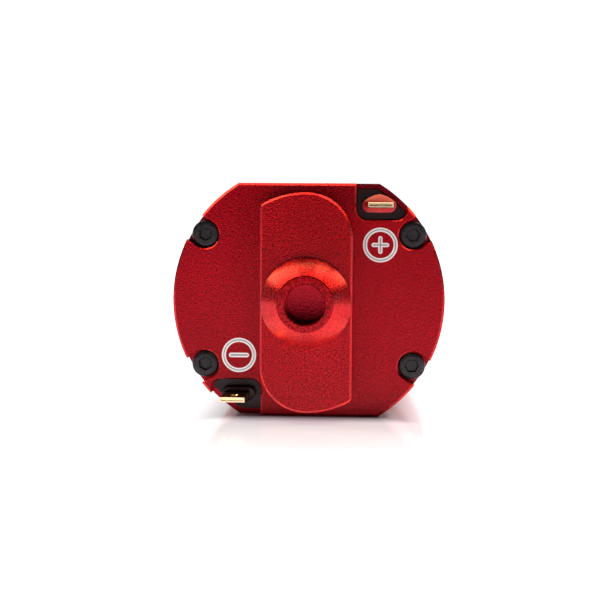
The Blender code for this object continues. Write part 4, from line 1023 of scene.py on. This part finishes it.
# the floor glows less near the motor and not at all under it, which is painted shadow round and
# under the motor: distances in millimetres
FLOOR_GLOW_NEAR, FLOOR_GLOW_FAR, GLOW_START, GLOW_END = 0.54, 1.0, 41, 78
# the motor's footprint on the floor, where the painted shadow lies
FOOT_MIDDLE, FOOT_HALF = -(CAP_FACE + CAN_FRONT) / 2, (CAP_FACE - CAN_FRONT) / 2
FOOT_FLAT, FOOT_BLEND = 8.0, 4.0
WARM, AMBER, WHITE = (1, 0.88, 0.7), (1, 0.84, 0.46), (1, 1, 1)
LIGHT_AIM = (0, -0.02, 0)
LIGHTS = (  # name, place, size, radiance, colour and what it faces
    ("upper_left", (-0.28, 0.045, 0.35), (0.13, 0.42), 7.2, AMBER),
    ("upper_right", (0.28, 0.045, 0.35), (0.13, 0.42), 7.2, AMBER),
    ("top_back", (0.0, 0.26, 0.36), (0.4, 0.2), 4.0, WARM),
    ("zenith", (0.0, 0.04, 0.44), (0.2, 0.12), 6.0, AMBER),
    ("side_left", (-0.36, -0.05, 0.02), (0.05, 0.16), 1.5, WHITE),
    ("side_right", (0.36, -0.05, 0.02), (0.05, 0.16), 1.5, WHITE),
    ("front_right", (0.14, -0.21, 0.004), (0.12, 0.06), 1.4, WHITE),
    ("low_card", (0, -0.0465, FLOOR + 0.0005), (0.08, 0.028), 0.55, WHITE, (0, -0.0465, 1)),
)


def aim_at(obj, location, target, roll=0.0):
    obj.location = location
    look = (Vector(target) - obj.location).to_track_quat("-Z", "Y").to_matrix()
    obj.rotation_euler = (look @ Matrix.Rotation(radians(roll), 3, "Z")).to_euler()


def make_camera():
    camera = add_object("camera", bpy.data.cameras.new("camera"))
    aim_at(camera, CAMERA_PLACE, CAMERA_AIM, CAMERA_ROLL)
    camera.data.sensor_width = SENSOR
    camera.data.lens = CAMERA_LENS
    camera.data.clip_start = 0.001
    bpy.context.scene.camera = camera


def soft_light(name, location, size, radiance, colour, target=LIGHT_AIM):
    """A softbox that shines evenly with the given radiance and stays out of the picture."""
    lamp = bpy.data.lights.new(name, "AREA")
    lamp.shape = "RECTANGLE"
    lamp.size, lamp.size_y = size
    lamp.energy = radiance * pi * size[0] * size[1]
    lamp.color = colour
    obj = add_object(name, lamp)
    aim_at(obj, location, target)
    obj.visible_camera = False


def stage_piece(name, mesh, look):
    mesh.materials.append(look)
    obj = add_object(name, mesh)
    return obj


def glow(name, strength):
    """A white that shines by itself, for the backdrop."""
    s = Shade(name)
    faint = s.noise(0.01, 1, 0.5)
    colour = s.mix(faint, (0.0, 0.0, 0.0), (0.002, 0.002, 0.002))
    return s.done(colour, s.ramp(faint, 0, 1, 0.9, 1), Emission_Color=(1, 1, 1),
                  Emission_Strength=strength, Specular_IOR_Level=0.0)


def make_floor():
    """A pale gloss floor that brightens into the backdrop away from the motor, with painted shadow:
    its glow is dimmer near the motor and gone under it.
    """
    mesh = new_mesh("floor")
    with editing(mesh) as work:
        bmesh.ops.create_circle(work, cap_ends=True, segments=96, radius=FLOOR_RADIUS)
    s = Shade("pale_floor")
    faint = s.noise(0.02)
    x, y = (s.node("SeparateXYZ", {0: s.place}, i) for i in (0, 1))
    along = s.math("SUBTRACT", s.math("ABSOLUTE", s.math("SUBTRACT", y, FOOT_MIDDLE)), FOOT_HALF)
    across = s.math("SUBTRACT", s.math("ABSOLUTE", x), FOOT_FLAT)
    # painted shadow: the glow is taken away over the motor's footprint and fades back in beyond it
    outside_painted_shadow = s.ramp(s.math("MAXIMUM", along, across), 0.0, FOOT_BLEND)
    # the glow is dimmer near the motor: painted shade round it
    glow_with_painted_shade = s.ramp(s.length(s.place), GLOW_START, GLOW_END, FLOOR_GLOW_NEAR, FLOOR_GLOW_FAR)
    colour = s.mix(s.ramp(faint, 0.3, 0.7), (0.56, 0.65, 0.92), (0.58, 0.67, 0.94))
    look = s.done(colour, s.ramp(faint, 0.3, 0.7, 0.08, 0.1), IOR=2.1,
                  Emission_Color=(1.04, 0.95, 1.02),
                  Emission_Strength=s.math("MULTIPLY", outside_painted_shadow, glow_with_painted_shade))
    stage_piece("floor", mesh, look).location = (0, 0, FLOOR - FLOOR_DROP)


def make_backdrop():
    """An upright half ring behind the motor that only the motor and the floor see."""
    verts = []
    for x, y in arc((0, 0), FLOOR_RADIUS, 15, 165, BACKDROP_STEPS):
        verts += [(x, y, FLOOR - 0.001), (x, y, BACKDROP_TOP)]
    faces = [(2 * i, 2 * i + 2, 2 * i + 3, 2 * i + 1) for i in range(BACKDROP_STEPS)]
    wall = stage_piece("backdrop", new_mesh("backdrop", verts, faces), glow("backdrop_white", 0.8))
    wall.visible_camera = False


def make_dome():
    """The white background, which the camera sees and which lights nothing."""
    mesh = new_mesh("dome")
    with editing(mesh) as work:
        bmesh.ops.create_icosphere(work, subdivisions=4, radius=DOME_RADIUS)
    dome = stage_piece("dome", mesh, glow("dome_white", 1.05))
    dome.visible_diffuse = dome.visible_glossy = dome.visible_transmission = False
    dome.visible_shadow = dome.visible_volume_scatter = False


def make_studio():
    world = bpy.data.worlds.new("studio")
    bpy.context.scene.world = world
    world.use_nodes = True
    background = world.node_tree.nodes["Background"].inputs
    background["Color"].default_value = (1, 1, 1, 1)
    background["Strength"].default_value = 0.03
    bpy.context.scene.view_settings.view_transform = "Standard"
    make_floor()
    make_dome()
    make_backdrop()
    for light in LIGHTS:
        soft_light(*light)


make_camera()
make_rear_cap()
make_marks()
make_screws()
for half_turn, name in ((0, "positive"), (180, "negative")):
    make_blade(name, half_turn)
    make_collar(name, half_turn)
make_carrier()
make_housing()
make_shaft()
make_pinion()
make_set_screw("pinion_set_screw", 0, 1.2, SHAFT_FLAT + FIT, 3.5,
               (PINION_HIGH.z + TEETH_REAR) / 2, 0.65)
make_set_screw("hub_set_screw", 90, 0.8, SHAFT_RADIUS + FIT, 3.9,
               (HUB_FRONT + HUB_NECK_FRONT) / 2, 0.42)
make_bell()
make_bearing_balls()
make_studio()

for node_name, obj in frame["nodes"].items():
    if not obj.hide_render and node_name in SLOTS:
        for slot in obj.material_slots:
            slot.material = LOOKS[SLOTS[node_name]]
